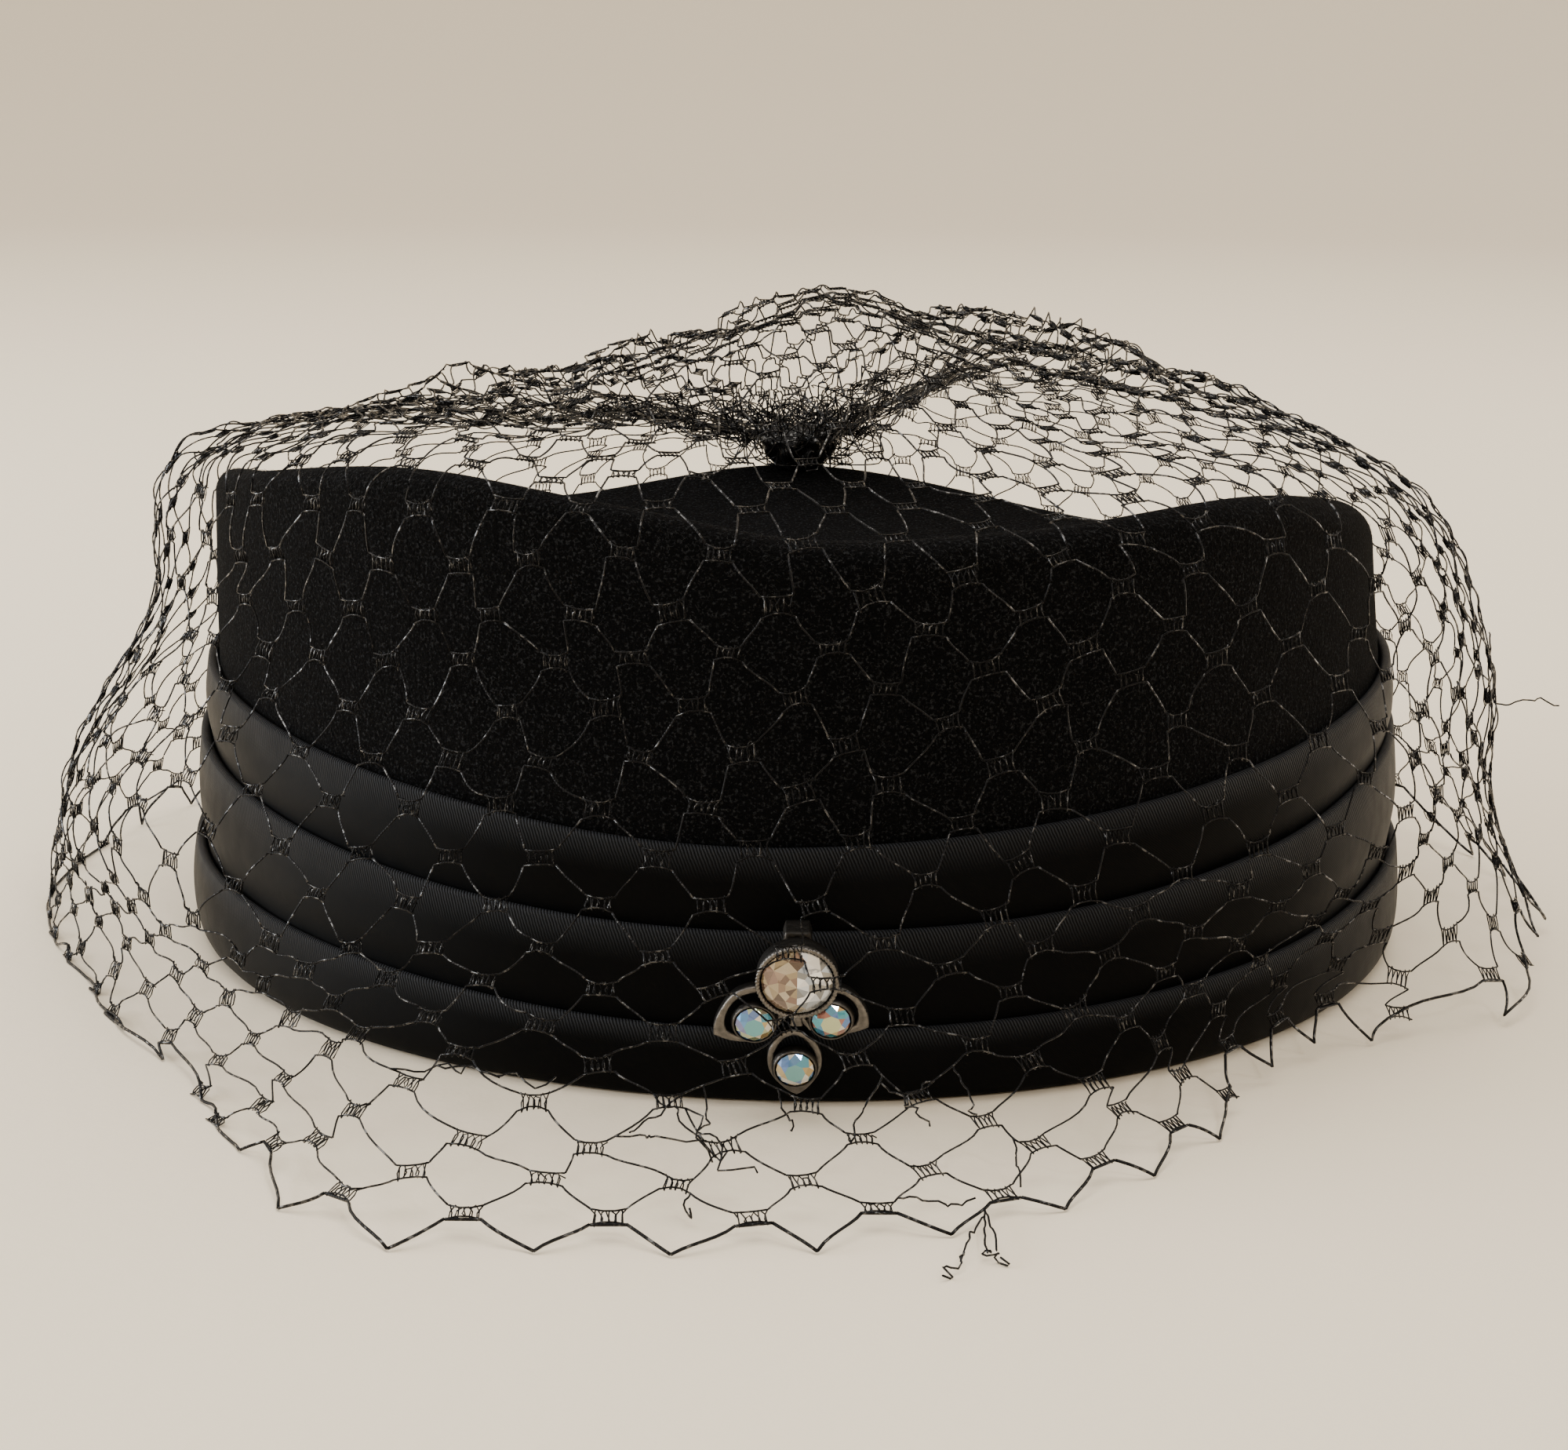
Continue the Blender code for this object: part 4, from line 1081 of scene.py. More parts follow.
def veil_net():
    """Where each knot of the net stands: its azimuth, share, centre and directions, as rows by columns from the hem."""
    rng = np.random.default_rng(7)
    table, total, knee = veil_table()
    columns, pitch = sizes().columns, sizes().row_pitch
    count = int(total.max() / pitch) + 1
    row = np.arange(count)[:, None].astype(float)
    column = np.arange(columns)[None, :] + (row % 2) / 2
    drift = np.interp(row, *zip(*ROW_DRIFT))
    crowding = np.interp(row, *zip(*FRONT_CROWDING))
    stray = rng.normal(0, 1, (2, count, columns))
    turn = (column + drift) * 2 * np.pi / columns
    calm = 1 - 0.75 * np.clip(np.cos(turn), 0, 1) ** 2
    azimuth = np.degrees(turn - crowding * np.sin(turn))
    azimuth = azimuth + stray[0] * 0.055 * 360 / columns * np.clip(row / 3, 0.4, 1)
    to_left = np.clip(1 - np.abs((azimuth + 180) % 360 - 180 + 68) / 34, 0, 1)
    azimuth = azimuth + (0.9 + 1.5 * to_left) * waves(azimuth, row * ROW_STEP, KNOTS_ROUND) * calm
    azimuth = azimuth + to_left * stray[0] * 0.5
    length, to_knee = round_table(total, azimuth), round_table(knee, azimuth)
    signed = (azimuth + 180) % 360 - 180
    low_pitch = pitch * np.interp(signed, *zip(*SQUEEZE))
    start = np.maximum(KNEE_ROW - to_knee / low_pitch, 0)
    climb = (row - start) / (KNEE_ROW - start)
    below = to_knee * climb - KNEE_SAG * np.clip(2 * climb - 1, 0, 1)
    above = to_knee - KNEE_SAG + pitch * np.interp(row, *zip(*ROW_PLACES))
    away = np.where(row < KNEE_ROW, below, above)
    tilt = np.sin(turn) * (1 + np.cos(turn)) / 2
    tilt = tilt * np.clip(row / KNEE_ROW, 0, 1) * np.clip((34 - row) / 12, 0, 1)
    away = away + ROW_TILT * tilt + stray[1] * 0.00032 * np.clip(row / 3, 0, 1)
    away = away + 0.0010 * waves(azimuth, row * ROW_STEP, KNOTS_DOWN) * np.clip(row / 5, 0, 1) * calm
    # The hem: half columns run as even rows' places and odd rows' places in turn
    wanted = np.empty(2 * columns)
    wanted[0::2], wanted[1::2] = start[0], start[1]
    hem = hem_rows(wanted, 2 * columns)
    hem_row = np.where(row % 2 == 0, hem[0::2][None], hem[1::2][None])
    cut = row < hem_row
    away = np.maximum(away, 0.0)
    share = 1 - away / length
    knots = {"azimuth": azimuth, "share": share, "inside": share < 0.02}
    knots["centre"] = look_up(table, azimuth, np.maximum(share, 0.006))
    right = np.roll(knots["centre"], -1, axis=1) - np.roll(knots["centre"], 1, axis=1)
    spacing = np.linalg.norm(right, axis=2) / 2
    right = unit(right)
    up = look_up(table, azimuth, np.maximum(share - 0.012, 0)) - look_up(table, azimuth, share + 0.012)
    up = unit(up - right * (up * right).sum(axis=2, keepdims=True))
    roll = rng.normal(0, 0.11, spacing.shape)[..., None]
    knots["right"] = right * np.cos(roll) + up * np.sin(roll)
    knots["up"] = up * np.cos(roll) - right * np.sin(roll)
    knots["out"] = np.cross(knots["right"], knots["up"]) * -1
    width = np.minimum(sizes().knot_width, spacing * 0.35) * rng.uniform(0.86, 1.12, spacing.shape)
    height = sizes().knot_height * rng.uniform(0.8, 1.2, spacing.shape) * np.sqrt(width / sizes().knot_width)
    knots["width"], knots["height"] = width, height
    knots["cut"], knots["hem"] = cut, hem
    return table, knots


def corner(knots, row, column, side, level):
    """Corners of knots: side is -1 left or 1 right, and level -1 below or 1 above."""
    width, height = knots["width"][row, column][..., None], knots["height"][row, column][..., None]
    at = knots["centre"][row, column] + knots["right"][row, column] * width * side / 2
    return at + knots["up"][row, column] * height * level / 2


def links_up(knots):
    """The net's threads as arrays: row and column of the lower knot, column of the upper, and side it leaves by."""
    columns = sizes().columns
    rng = np.random.default_rng(37)
    rows, lower, upper, sides = [], [], [], []
    for row in range(len(knots["share"]) - 1):
        here = np.arange(columns)
        for side in (-1, 1):
            there = (here + (row % 2 if side > 0 else row % 2 - 1)) % columns
            shown = ~(knots["inside"][row, here] & knots["inside"][row + 1, there])
            shown &= ~knots["cut"][row, here] & ~knots["cut"][row + 1, there]
            bunched = knots["width"][row, here] < sizes().knot_width * BUNCHED_KNOT
            shown &= ~bunched | (rng.random(columns) < 0.6)
            rows.append(np.full(shown.sum(), row))
            lower.append(here[shown])
            upper.append(there[shown])
            sides.append(np.full(shown.sum(), side))
    return tuple(np.concatenate(part) for part in (rows, lower, upper, sides))


def on_hem(knots, row, column):
    """Whether a knot's place is one that the hem runs through."""
    return knots["hem"][(2 * column + row % 2) % (2 * sizes().columns)] == row


def thread_paths(table, knots, links):
    """The threads of links as paths on the veil's surface, bowed as they leave their knots."""
    rng = np.random.default_rng(17)
    steps = np.linspace(0, 1, THREAD_POINTS)[None, :, None]
    row, lower, upper, side = links
    above = row + 1
    bare_low = bare_place(knots, row, lower)[:, None]
    bare_high = bare_place(knots, above, upper)[:, None]
    start = np.where(bare_low, knots["centre"][row, lower], corner(knots, row, lower, side[:, None], 1))
    end = np.where(bare_high, knots["centre"][above, upper], corner(knots, above, upper, -side[:, None], -1))
    azimuth_low, azimuth_high = knots["azimuth"][row, lower], knots["azimuth"][above, upper]
    azimuth_high = azimuth_low + (azimuth_high - azimuth_low + 180) % 360 - 180
    share = (knots["share"][row, lower] + knots["share"][above, upper]) / 2
    middle = look_up(table, (azimuth_low + azimuth_high) / 2, np.maximum(share, 0.004))
    bulge = middle - (knots["centre"][row, lower] + knots["centre"][above, upper]) / 2
    span = np.linalg.norm(end - start, axis=1, keepdims=True)
    bulge *= np.minimum(1, span * 0.3 / (np.linalg.norm(bulge, axis=1, keepdims=True) + 1e-9))
    ways = []
    for at_row, column in ((row, lower), (above, upper)):
        lean = (end - start) / (span + 1e-9) * 0.84 + knots["up"][at_row, column] * 0.18
        lean = lean + rng.normal(0, 0.08, lean.shape)
        ways.append((lean / np.linalg.norm(lean, axis=1, keepdims=True) * span)[:, None])
    curve = (
        start[:, None] * (2 * steps**3 - 3 * steps**2 + 1)
        + ways[0] * (steps**3 - 2 * steps**2 + steps)
        + end[:, None] * (3 * steps**2 - 2 * steps**3)
        + ways[1] * (steps**3 - steps**2)
    )
    return curve + bulge[:, None] * 4 * steps * (1 - steps)


def bare_place(knots, row, column):
    """Whether a place on the hem has no knot, as the hem only turns there."""
    columns = sizes().columns
    half = (2 * column + row % 2) % (2 * columns)
    before, after = knots["hem"][half - 1], knots["hem"][(half + 1) % (2 * columns)]
    return (knots["hem"][half] == row) & (before > row) & (after > row)


def knot_paths(knots, chosen, loops, per_loop):
    """The knots' looped threads and their two rails, for chosen knots as a mask."""
    rng = np.random.default_rng(19 + loops)
    pick = {key: knots[key][chosen] for key in ("centre", "right", "up", "out", "width", "height")}
    count = len(pick["width"])
    step = np.linspace(0, 1, loops * per_loop + 1)[None, :, None]
    width, height = pick["width"][:, None, None], pick["height"][:, None, None]
    right, up, out = (pick[key][:, None] for key in ("right", "up", "out"))
    phase = rng.uniform(-0.5, 0.5, (count, 1, 1)) + rng.normal(0, 0.35, (count, step.shape[1], 1))
    turn = 2 * np.pi * loops * step + phase
    squeeze = 1 + 0.2 * np.cos(2 * np.pi * step)
    across = (step - 0.5) * 0.94 + 0.38 / loops * np.sin(turn)
    coil = pick["centre"][:, None] + right * width * across + up * height * 0.5 * squeeze * np.cos(turn)
    coil = coil + out * (0.00018 * np.sin(turn) + 0.00012)
    rails = []
    bend = np.linspace(-0.5, 0.5, 4)[None, :, None]
    for level in (-1, 1):
        sag = 1 - 0.55 * (1 - (2 * bend) ** 2) * rng.uniform(0.2, 1.0, (count, 1, 1))
        rails.append(pick["centre"][:, None] + right * width * bend + up * height * level / 2 * sag)
    return coil, np.concatenate(rails)


def hem_bars(knots):
    """The hem's way across each knot it runs through, from the corner it comes in by to the one it leaves by."""
    row = knots["hem"]
    before, after = np.roll(row, 1), np.roll(row, -1)
    column = (np.arange(len(row)) - row % 2) // 2 % sizes().columns
    there = ~((before > row) & (after > row))
    row, column, before, after = row[there], column[there], before[there], after[there]
    start = corner(knots, row, column, -1, np.where(before < row, -1, 1)[:, None])
    end = corner(knots, row, column, 1, np.where(after < row, -1, 1)[:, None])
    return start[:, None] + (end - start)[:, None] * np.linspace(0, 1, THREAD_POINTS)[None, :, None]


TORN_POINTS = 14
# How often a torn end curls on its way. Each curl is as much smaller as it comes more often.
CURLS = (1.3, 2.4, 3.7)


def torn_paths(net):
    """The torn and loose ends of thread, each held by the nearest point of the net or of an earlier end."""
    rng = np.random.default_rng(29)
    step = np.linspace(0, 1, TORN_POINTS)[:, None]
    paths = []
    for strand in TORN_ENDS:
        start, end = (np.array(place) / 1000 for place in (strand.start, strand.end))
        curl = np.zeros((len(step), 3))
        for cycles in CURLS:
            curl += rng.normal(0, 1, 3) * np.sin(2 * np.pi * (cycles * step + rng.uniform(0, 1, 3))) / cycles
        held = net[((net - start) ** 2).sum(axis=1).argmin()] - start
        path = start + (end - start) * step + held * (1 - step) ** 2
        path += curl * strand.slack / 1000 * 0.8 * np.sqrt(step)
        net = np.concatenate([net, path])
        paths.append(path)
    return np.stack(paths)


def above_floor(paths, radius):
    """Paths raised where their thread would run into the floor."""
    paths[..., 2] = np.maximum(paths[..., 2], radius * 1.1)
    return paths


# The radius of a knot's coil and rails, as shares of the thread's
COIL_SHARE, RAIL_SHARE = 0.72, 0.9


def build_veil(material):
    """The net in pieces: threads, knots of its right and left half, its thicker hem and its torn ends."""
    table, knots = veil_net()
    radius = sizes().thread_radius
    links = np.array(links_up(knots))
    along_hem = on_hem(knots, links[0], links[1]) & on_hem(knots, links[0] + 1, links[2])
    threads = clear_of_hat(thread_paths(table, knots, links[:, ~along_hem]))
    add_piece("net_threads", tube_mesh("net_threads", (threads, radius)), material, ["veil"])
    rows, columns = np.indices(knots["share"].shape)
    open_knots = ~knots["inside"] & ~knots["cut"] & ~bare_place(knots, rows, columns)
    open_knots &= knots["width"] > sizes().knot_width * BUNCHED_KNOT
    full = open_knots & (knots["width"] > sizes().knot_width * SMALL_KNOT)
    right_half = knots["azimuth"] % 360 < 180
    for name, half in (("net_knots_right", right_half), ("net_knots_left", ~right_half)):
        groups = []
        for chosen, loops, per_loop in ((full & half, 5, 5), (open_knots & ~full & half, 2, 5)):
            coil, rails = (above_floor(part, radius) for part in knot_paths(knots, chosen, loops, per_loop))
            groups += [(coil, radius * COIL_SHARE), (rails, radius * RAIL_SHARE)]
        add_piece(name, tube_mesh(name, *groups), material)
    hem = np.concatenate([thread_paths(table, knots, links[:, along_hem]), hem_bars(knots)])
    thick = sizes().hem_radius
    add_piece("net_hem", tube_mesh("net_hem", (above_floor(hem, thick), thick)), material)
    torn = torn_paths(np.concatenate([threads.reshape(-1, 3), hem.reshape(-1, 3)]))
    torn = above_floor(torn, radius)
    add_piece("net_torn_ends", tube_mesh("net_torn_ends", (torn, radius)), material)


# Gather

GATHER_COLUMNS, GATHER_ROWS = 96, 28
# The knot's reach by level, and how its pleats are cut in
GATHER_LEVELS = (0, 0.12, 0.40, GATHER_WAIST, 0.86, 1.0)
GATHER_REACHES = (0.50, 0.72, 0.92, 1.0, 0.80, 0.30)
GATHER_PLEATS, PLEAT_DEPTH = 9, 0.13
# The loose loops round it: their count, spread, middle and the points on each
LOOP_COUNT, LOOP_POINTS = 130, 14
LOOP_SPREAD = (0.0064, 0.0046, 0.0024)
LOOP_MIDDLE = (0, 0, 0.0058)


def build_gather(material):
    """The net's gather: its bunched cloth drawn into a lumpy knot, with loops of loose thread round it."""
    place = gather_place()
    rng = np.random.default_rng(23)
    columns, rows = GATHER_COLUMNS, GATHER_ROWS
    turn = 2 * np.pi * np.arange(columns)[:, None] / columns
    level = np.linspace(0, 1, rows)[None, :]
    profile = np.interp(level, GATHER_LEVELS, GATHER_REACHES)
    pleat = 1 - PLEAT_DEPTH * (0.5 + 0.5 * np.cos(GATHER_PLEATS * turn + 1.2 * np.sin(3 * level * np.pi)))
    lumps = 0.06 * waves(np.degrees(turn), level * 0.01, GATHER_LUMPS)
    reach = GATHER_RADIUS * 0.93 * profile * (pleat + lumps * profile)
    height = GATHER_HEIGHT * (level + 0.03 * waves(np.degrees(turn), level * 0.01, GATHER_RISE) * profile)
    height = np.maximum(height, 0.0) - 0.0009 * np.clip(1 - level / 0.1, 0, 1)
    points = place + np.stack([reach * np.sin(turn), -reach * np.cos(turn), np.broadcast_to(height, reach.shape)], -1)
    quads = grid_faces(columns, rows)
    base = np.arange(columns) * rows
    flat = np.concatenate([points.reshape(-1, 3), [points[:, 0].mean(0), points[:, -1].mean(0)]])
    low = np.stack([np.roll(base, -1), base, np.full(columns, len(flat) - 2)], -1)
    high = np.stack([base + rows - 1, np.roll(base, -1) + rows - 1, np.full(columns, len(flat) - 1)], -1)
    uv = flat[:, [0, 2]]
    mesh = mesh_from("gather_knot", flat, quads, np.concatenate([low, high]), uv)
    add_piece("gather_knot", mesh, material, ["veil_gather"])
    loops = []
    for _ in range(LOOP_COUNT):
        centre = place + rng.normal(0, 1, 3) * LOOP_SPREAD + LOOP_MIDDLE
        size = rng.uniform(0.0018, 0.0072)
        first, second = rng.normal(0, 1, (2, 3))
        first /= np.linalg.norm(first)
        second -= first * second.dot(first)
        second /= np.linalg.norm(second)
        sweep = np.linspace(0, rng.uniform(3.0, 6.0), LOOP_POINTS)[:, None]
        loop = centre + size * (first * np.cos(sweep) + second * np.sin(sweep) * rng.uniform(0.4, 1.0))
        loops.append(loop + first * 0.0006 * np.sin(2.3 * sweep))
    paths = np.stack(loops)
    paths[..., 2] = np.maximum(paths[..., 2], place[2] + 0.0005)
    mesh = tube_mesh("gather_loops", (paths, sizes().thread_radius))
    add_piece("gather_loops", mesh, material)


# Brooch

MAIN_STONE_RADIUS = 0.0046
MAIN_STONE_HEIGHT = 0.0038
SMALL_STONE_RADIUS = 0.00245
SMALL_STONE_HEIGHT = 0.0024
STONE_BACK = 0.58
CUP_WALL = 0.00055
STONE_GAP = 0.00012
MAIN_CUP_DEPTH = 0.0034
SMALL_CUP_DEPTH = 0.0022
LEAF_WIDTH = 0.00095
LEAF_DEPTH = 0.0015
STEM_WIDTH = 0.0013
STEM_LENGTH = 0.0035
TAB_WIDTH = 0.0037
TAB_THICKNESS = 0.0015
TAB_DEPTH = 0.0034
BROOCH_HEIGHT = 0.0205
BROOCH_FOOT = 0.0172
BROOCH_TILT = math.radians(15.0)

# The brooch's leaves, each open round its small stone at x and z. x and z are shares of MAIN_STONE_RADIUS. heading
# is the direction of the leaf's tip, in degrees from +X towards +Z. tip and the reaches at 45 to 315 degrees
# further round from it are shares of SMALL_STONE_RADIUS.
Leaf = namedtuple("Leaf", "name x z heading tip r45 r90 r135 r180 r225 r270 r315")
LEAVES = (
    Leaf("left", -1.17, -1.57, 202, 2.33, 1.42, 1.12, 1.27, 1.63, 2.12, 2.04, 1.90),
    Leaf("right", 0.96, -1.43, 344, 2.08, 1.84, 1.92, 1.88, 1.22, 1.10, 1.06, 1.18),
    Leaf("lower", -0.02, -3.07, 274, 1.80, 1.36, 1.42, 1.78, 2.33, 1.78, 1.42, 1.36),
)


def brooch_matrix():
    """The brooch's plane in the hat's frame, as in its solids: its back to +Y, its top tilted forward."""
    stand_off = BROOCH_FOOT * math.tan(BROOCH_TILT) + SEAT_GAP * 2
    outside = fold_offsets(len(FOLDS) - 1)[1]
    place = Vector(CENTRE) + Vector((0, -HALF_DEPTH - outside - stand_off, BROOCH_HEIGHT))
    return Matrix.Translation(place) @ Matrix.Rotation(BROOCH_TILT, 4, "X")


def lathe(profile, sides, x=0.0, z=0.0):
    """Points and faces of a closed turned shape about the brooch's Y, from (radius, depth) pairs from axis to axis."""
    turn = 2 * np.pi * np.arange(sides) / sides
    profile = np.array(profile)
    ring = np.stack([np.sin(turn), np.zeros(sides), np.cos(turn)], axis=-1)
    points = ring[:, None] * profile[None, :, :1] + np.array([0, 1, 0]) * profile[None, :, 1:]
    points = points.reshape(-1, 3) + (x, 0, z)
    quads = grid_faces(sides, len(profile))
    return points, quads


def rounded(profile, times=2):
    """A profile with its corners cut, its ends kept."""
    points = np.array(profile, float)
    for _ in range(times):
        cut = [points[0]]
        for start, end in zip(points[:-1], points[1:]):
            cut += [start * 0.78 + end * 0.22, start * 0.22 + end * 0.78]
        points = np.array(cut + [points[-1]])
    return points


def cup_profile(radius, depth, lip):
    """A cup's outline, its front edge as wide as a share of its wall."""
    wall = CUP_WALL
    return rounded(
        [
            (1e-5, -wall * 0.1),
            (radius * 0.78, -wall * 0.1),
            (radius * 0.98, -wall * 1.1),
            (radius, -depth * 0.6),
            (radius - wall * (1 - lip), -depth),
            (radius - wall, -depth),
            (radius - wall * 0.98, -depth * 0.52),
            (radius - wall * 1.2, -depth * 0.45),
            (1e-5, -depth * 0.42),
        ],
        2,
    )


def leaf_outline(leaf, inset, per_side=14):
    """A leaf's outline round its stone, smooth but for its tip, drawn in by inset and by twice that at the tip."""
    unit = SMALL_STONE_RADIUS
    reaches = [leaf.tip * unit - inset * 2] + [reach * unit - inset for reach in leaf[5:]]
    reaches.append(reaches[0])
    # Turned over, because a straight edge is nearer to a straight line in 1 / reach
    reaches = 1 / np.array(reaches)
    reaches = np.array([2 * reaches[0] - reaches[1], *reaches, 2 * reaches[-1] - reaches[-2]])
    share = np.arange(per_side) / per_side
    outline = []
    for side in range(8):
        r0, r1, r2, r3 = reaches[side : side + 4]
        reach = 1 / cubic(r1, r2, (r2 - r0) / 2, (r3 - r1) / 2, share)
        turn = np.radians(leaf.heading + 45 * (side + share))
        outline.append(np.stack([reach * np.cos(turn), reach * np.sin(turn)], axis=-1))
    return np.concatenate(outline)


def swept_band(outer, inner, front, back, closed=True):
    """A cast band between two outlines of (x, z) points, with rounded front edges. Gives points, quads and wear."""
    section = [(0.0, back), (0.0, front + 0.00034), (0.05, front + 0.00012), (0.2, front)]
    section += [(0.5, front - 0.00003), (0.8, front), (0.95, front + 0.00012), (1.0, front + 0.00034), (1.0, back)]
    wear = np.array([0.0, 0.25, 0.9, 1.0, 0.75, 1.0, 0.9, 0.2, 0.0])
    rows = []
    for share, depth in section:
        flat = outer * (1 - share) + inner * share
        rows.append(np.stack([flat[:, 0], np.full(len(flat), depth), flat[:, 1]], axis=-1))
    points = np.stack(rows, axis=1)
    quads = grid_faces(len(outer), len(section), wrap_rows=closed, wrap_columns=True)
    return points.reshape(-1, 3), quads, np.tile(wear, len(outer))


def gem_mesh(name, radius, height, sides, table_tone, left, right):
    """A faceted stone that faces -Y. Each facet's Tone is the next of left or right, by its side of the middle, and
    paints the light that facet reflects.
    """
    crown = height * (1 - STONE_BACK)
    rings = (
        (0.54, -crown, 0.0),
        (0.80, -crown * 0.62, 0.5),
        (1.0, -crown * 0.14, 0.0),
        (1.0, -crown * 0.14, 0.5),
        (1.0, 0.0, 0.0),
        (1.0, 0.0, 0.5),
        (0.45, (height - crown) * 0.62, 0.0),
    )
    gem = bmesh.new()
    for share, depth, twist in rings:
        for side in range(sides):
            turn = 2 * math.pi * (side + twist) / sides
            gem.verts.new((radius * share * math.sin(turn), depth, radius * share * math.cos(turn)))
    gem.verts.new((0, height - crown, 0))
    bmesh.ops.convex_hull(gem, input=list(gem.verts))
    bmesh.ops.dissolve_limit(gem, angle_limit=math.radians(1), verts=list(gem.verts), edges=list(gem.edges))
    bmesh.ops.recalc_face_normals(gem, faces=list(gem.faces))
    tone = gem.faces.layers.float.new("Tone")
    table = max((face for face in gem.faces if face.normal.y < -0.99), key=lambda face: face.calc_area())
    if table_tone is None:
        # painted reflection: the table is cut into flat wedges, each toned like a facet seen through it
        bmesh.ops.inset_individual(gem, faces=[table], thickness=radius * 0.2)
        bmesh.ops.poke(gem, faces=[table])
        table = None
    places = {face: face.calc_center_median() for face in gem.faces}
    lists, used = (left, right), [0, 0]
    for face in sorted(gem.faces, key=lambda f: (round(places[f].y / height, 2), math.atan2(*places[f].xz))):
        half = int(places[face].x > 0.03 * radius)
        face[tone] = table_tone if face == table else lists[half][used[half] % len(lists[half])]
        used[half] += 1
    mesh = bpy.data.meshes.new(name)
    gem.to_mesh(mesh)
    gem.free()
    return mesh


# Points round the main cup, a small cup, the rope edge and the rope's own section
CUP_SIDES, SMALL_CUP_SIDES, ROPE_SIDES, ROPE_SECTION = 96, 64, 360, 10
ROPE_RADIUS = 0.00027
ROPE_TURNS = 60
# How much of its wall a small cup keeps at its front edge
SMALL_LIP = 0.45
TAB_BEVEL = 0.16


def rope_edge(radius, depth):
    """A ring round the front of a cup whose round section is pinched by slanting turns."""
    around_ring = 2 * np.pi * np.arange(ROPE_SIDES)[:, None] / ROPE_SIDES
    section = 2 * np.pi * np.arange(ROPE_SECTION)[None, :] / ROPE_SECTION
    reach = ROPE_RADIUS * (1 + 0.24 * np.cos(ROPE_TURNS * around_ring + 2 * section))
    ring = radius - 0.00022 + reach * np.cos(section)
    rope = np.stack(
        [ring * np.sin(around_ring), -depth - 0.00004 + reach * np.sin(section), ring * np.cos(around_ring)],
        axis=-1,
    )
    return rope.reshape(-1, 3), grid_faces(ROPE_SIDES, ROPE_SECTION, wrap_columns=True)


def tab_block(top):
    """Points and triangles of the tab's rounded block, narrower at its top."""
    box = bmesh.new()
    bmesh.ops.create_cube(box, size=1.0)
    bmesh.ops.bevel(box, geom=list(box.edges), offset=TAB_BEVEL, segments=3, profile=0.6, affect="EDGES")
    bmesh.ops.recalc_face_normals(box, faces=list(box.faces))
    bmesh.ops.triangulate(box, faces=list(box.faces))
    box.verts.index_update()
    cube = np.array([vert.co[:] for vert in box.verts])
    # Blender gives the triangles in no fixed order, so each starts at its lowest point and the list is sorted.
    corners = [[vert.index for vert in face.verts] for face in box.faces]
    triangles = np.array(sorted(face[face.index(min(face)):] + face[:face.index(min(face))] for face in corners))
    box.free()
    size = np.array([TAB_WIDTH, TAB_DEPTH + CUP_WALL, TAB_THICKNESS])
    cube = cube * size * (1 - 0.12 * (cube[:, 2:] > 0)) + (0, (TAB_DEPTH - CUP_WALL) / 2, top - TAB_THICKNESS / 2)
    return cube, triangles


def build_setting():
    """The soldered setting: a main cup with a rope edge, three small cups in open leaves, a stem and a tab."""
    parts = []

    def keep(points, faces, wear):
        parts.append((np.asarray(points), np.asarray(faces), np.broadcast_to(wear, len(points))))

    def turned(radius, depth, sides, lip=1.0, x=0.0, z=0.0):
        profile = cup_profile(radius, depth, lip)
        points, quads = lathe(profile, sides, x, z)
        front = np.clip((-profile[:, 1] - depth * 0.86) / (depth * 0.1), 0, 1)
        keep(points, quads, np.tile(0.06 + 0.42 * front, sides))

    cup_radius = MAIN_STONE_RADIUS + STONE_GAP + CUP_WALL
    small_radius = SMALL_STONE_RADIUS + STONE_GAP + CUP_WALL
    turned(cup_radius, MAIN_CUP_DEPTH, CUP_SIDES)
    keep(*rope_edge(cup_radius, MAIN_CUP_DEPTH), 1.0)
    for leaf in LEAVES:
        x, z = leaf.x * MAIN_STONE_RADIUS, leaf.z * MAIN_STONE_RADIUS
        outer, inner = leaf_outline(leaf, 0.0) + (x, z), leaf_outline(leaf, LEAF_WIDTH) + (x, z)
        keep(*swept_band(outer, inner, -LEAF_DEPTH, -CUP_WALL * 0.1))
        turned(small_radius, SMALL_CUP_DEPTH, SMALL_CUP_SIDES, SMALL_LIP, x, z)
    low, high = -cup_radius - STEM_LENGTH * 0.74, -cup_radius + CUP_WALL
    rows = np.linspace(low, high, 9)
    half = STEM_WIDTH / 2 * (1 + 0.35 * np.linspace(1, 0, 9) ** 2)
    left, right = np.stack([-half, rows], -1), np.stack([half, rows], -1)
    points, quads, wear = swept_band(right, left, -LEAF_DEPTH * 0.95, -CUP_WALL * 0.3, closed=False)
    keep(points, quads, wear)
    # The stem's side branch, down to the lower leaf's right shoulder
    rows = np.linspace(0, 1, 7)
    branch = np.stack([0.0004 + 0.0016 * rows**0.8, low * 0.86 + (low * 1.08 - low * 0.86) * rows], -1)
    left, right = branch - (0.00042, 0.0002), branch + (0.00042, 0.0002)
    keep(*swept_band(right, left, -LEAF_DEPTH * 0.8, -CUP_WALL * 0.3, closed=False))
    cube, triangles = tab_block(cup_radius + CUP_WALL * 0.4)
    points, quads, wear, base = [], [], [], 0
    for part_points, faces, part_wear in parts:
        points.append(part_points)
        quads.append(faces + base)
        wear.append(part_wear)
        base += len(part_points)
    points.append(cube)
    # painted highlight: the tab's left side is marked bright as a glint, and the rest of the tab stays dark
    wear.append(np.where(cube[:, 0] < -TAB_WIDTH * 0.4, 0.6, 0.04))
    mesh = mesh_from("setting", np.concatenate(points), np.concatenate(quads), triangles + base)
    mark_points(mesh, "WearAndTabHighlight", np.concatenate(wear))
    mesh.transform(brooch_matrix())
    add_piece("setting", mesh, metal_material(), ["brooch_setting"])
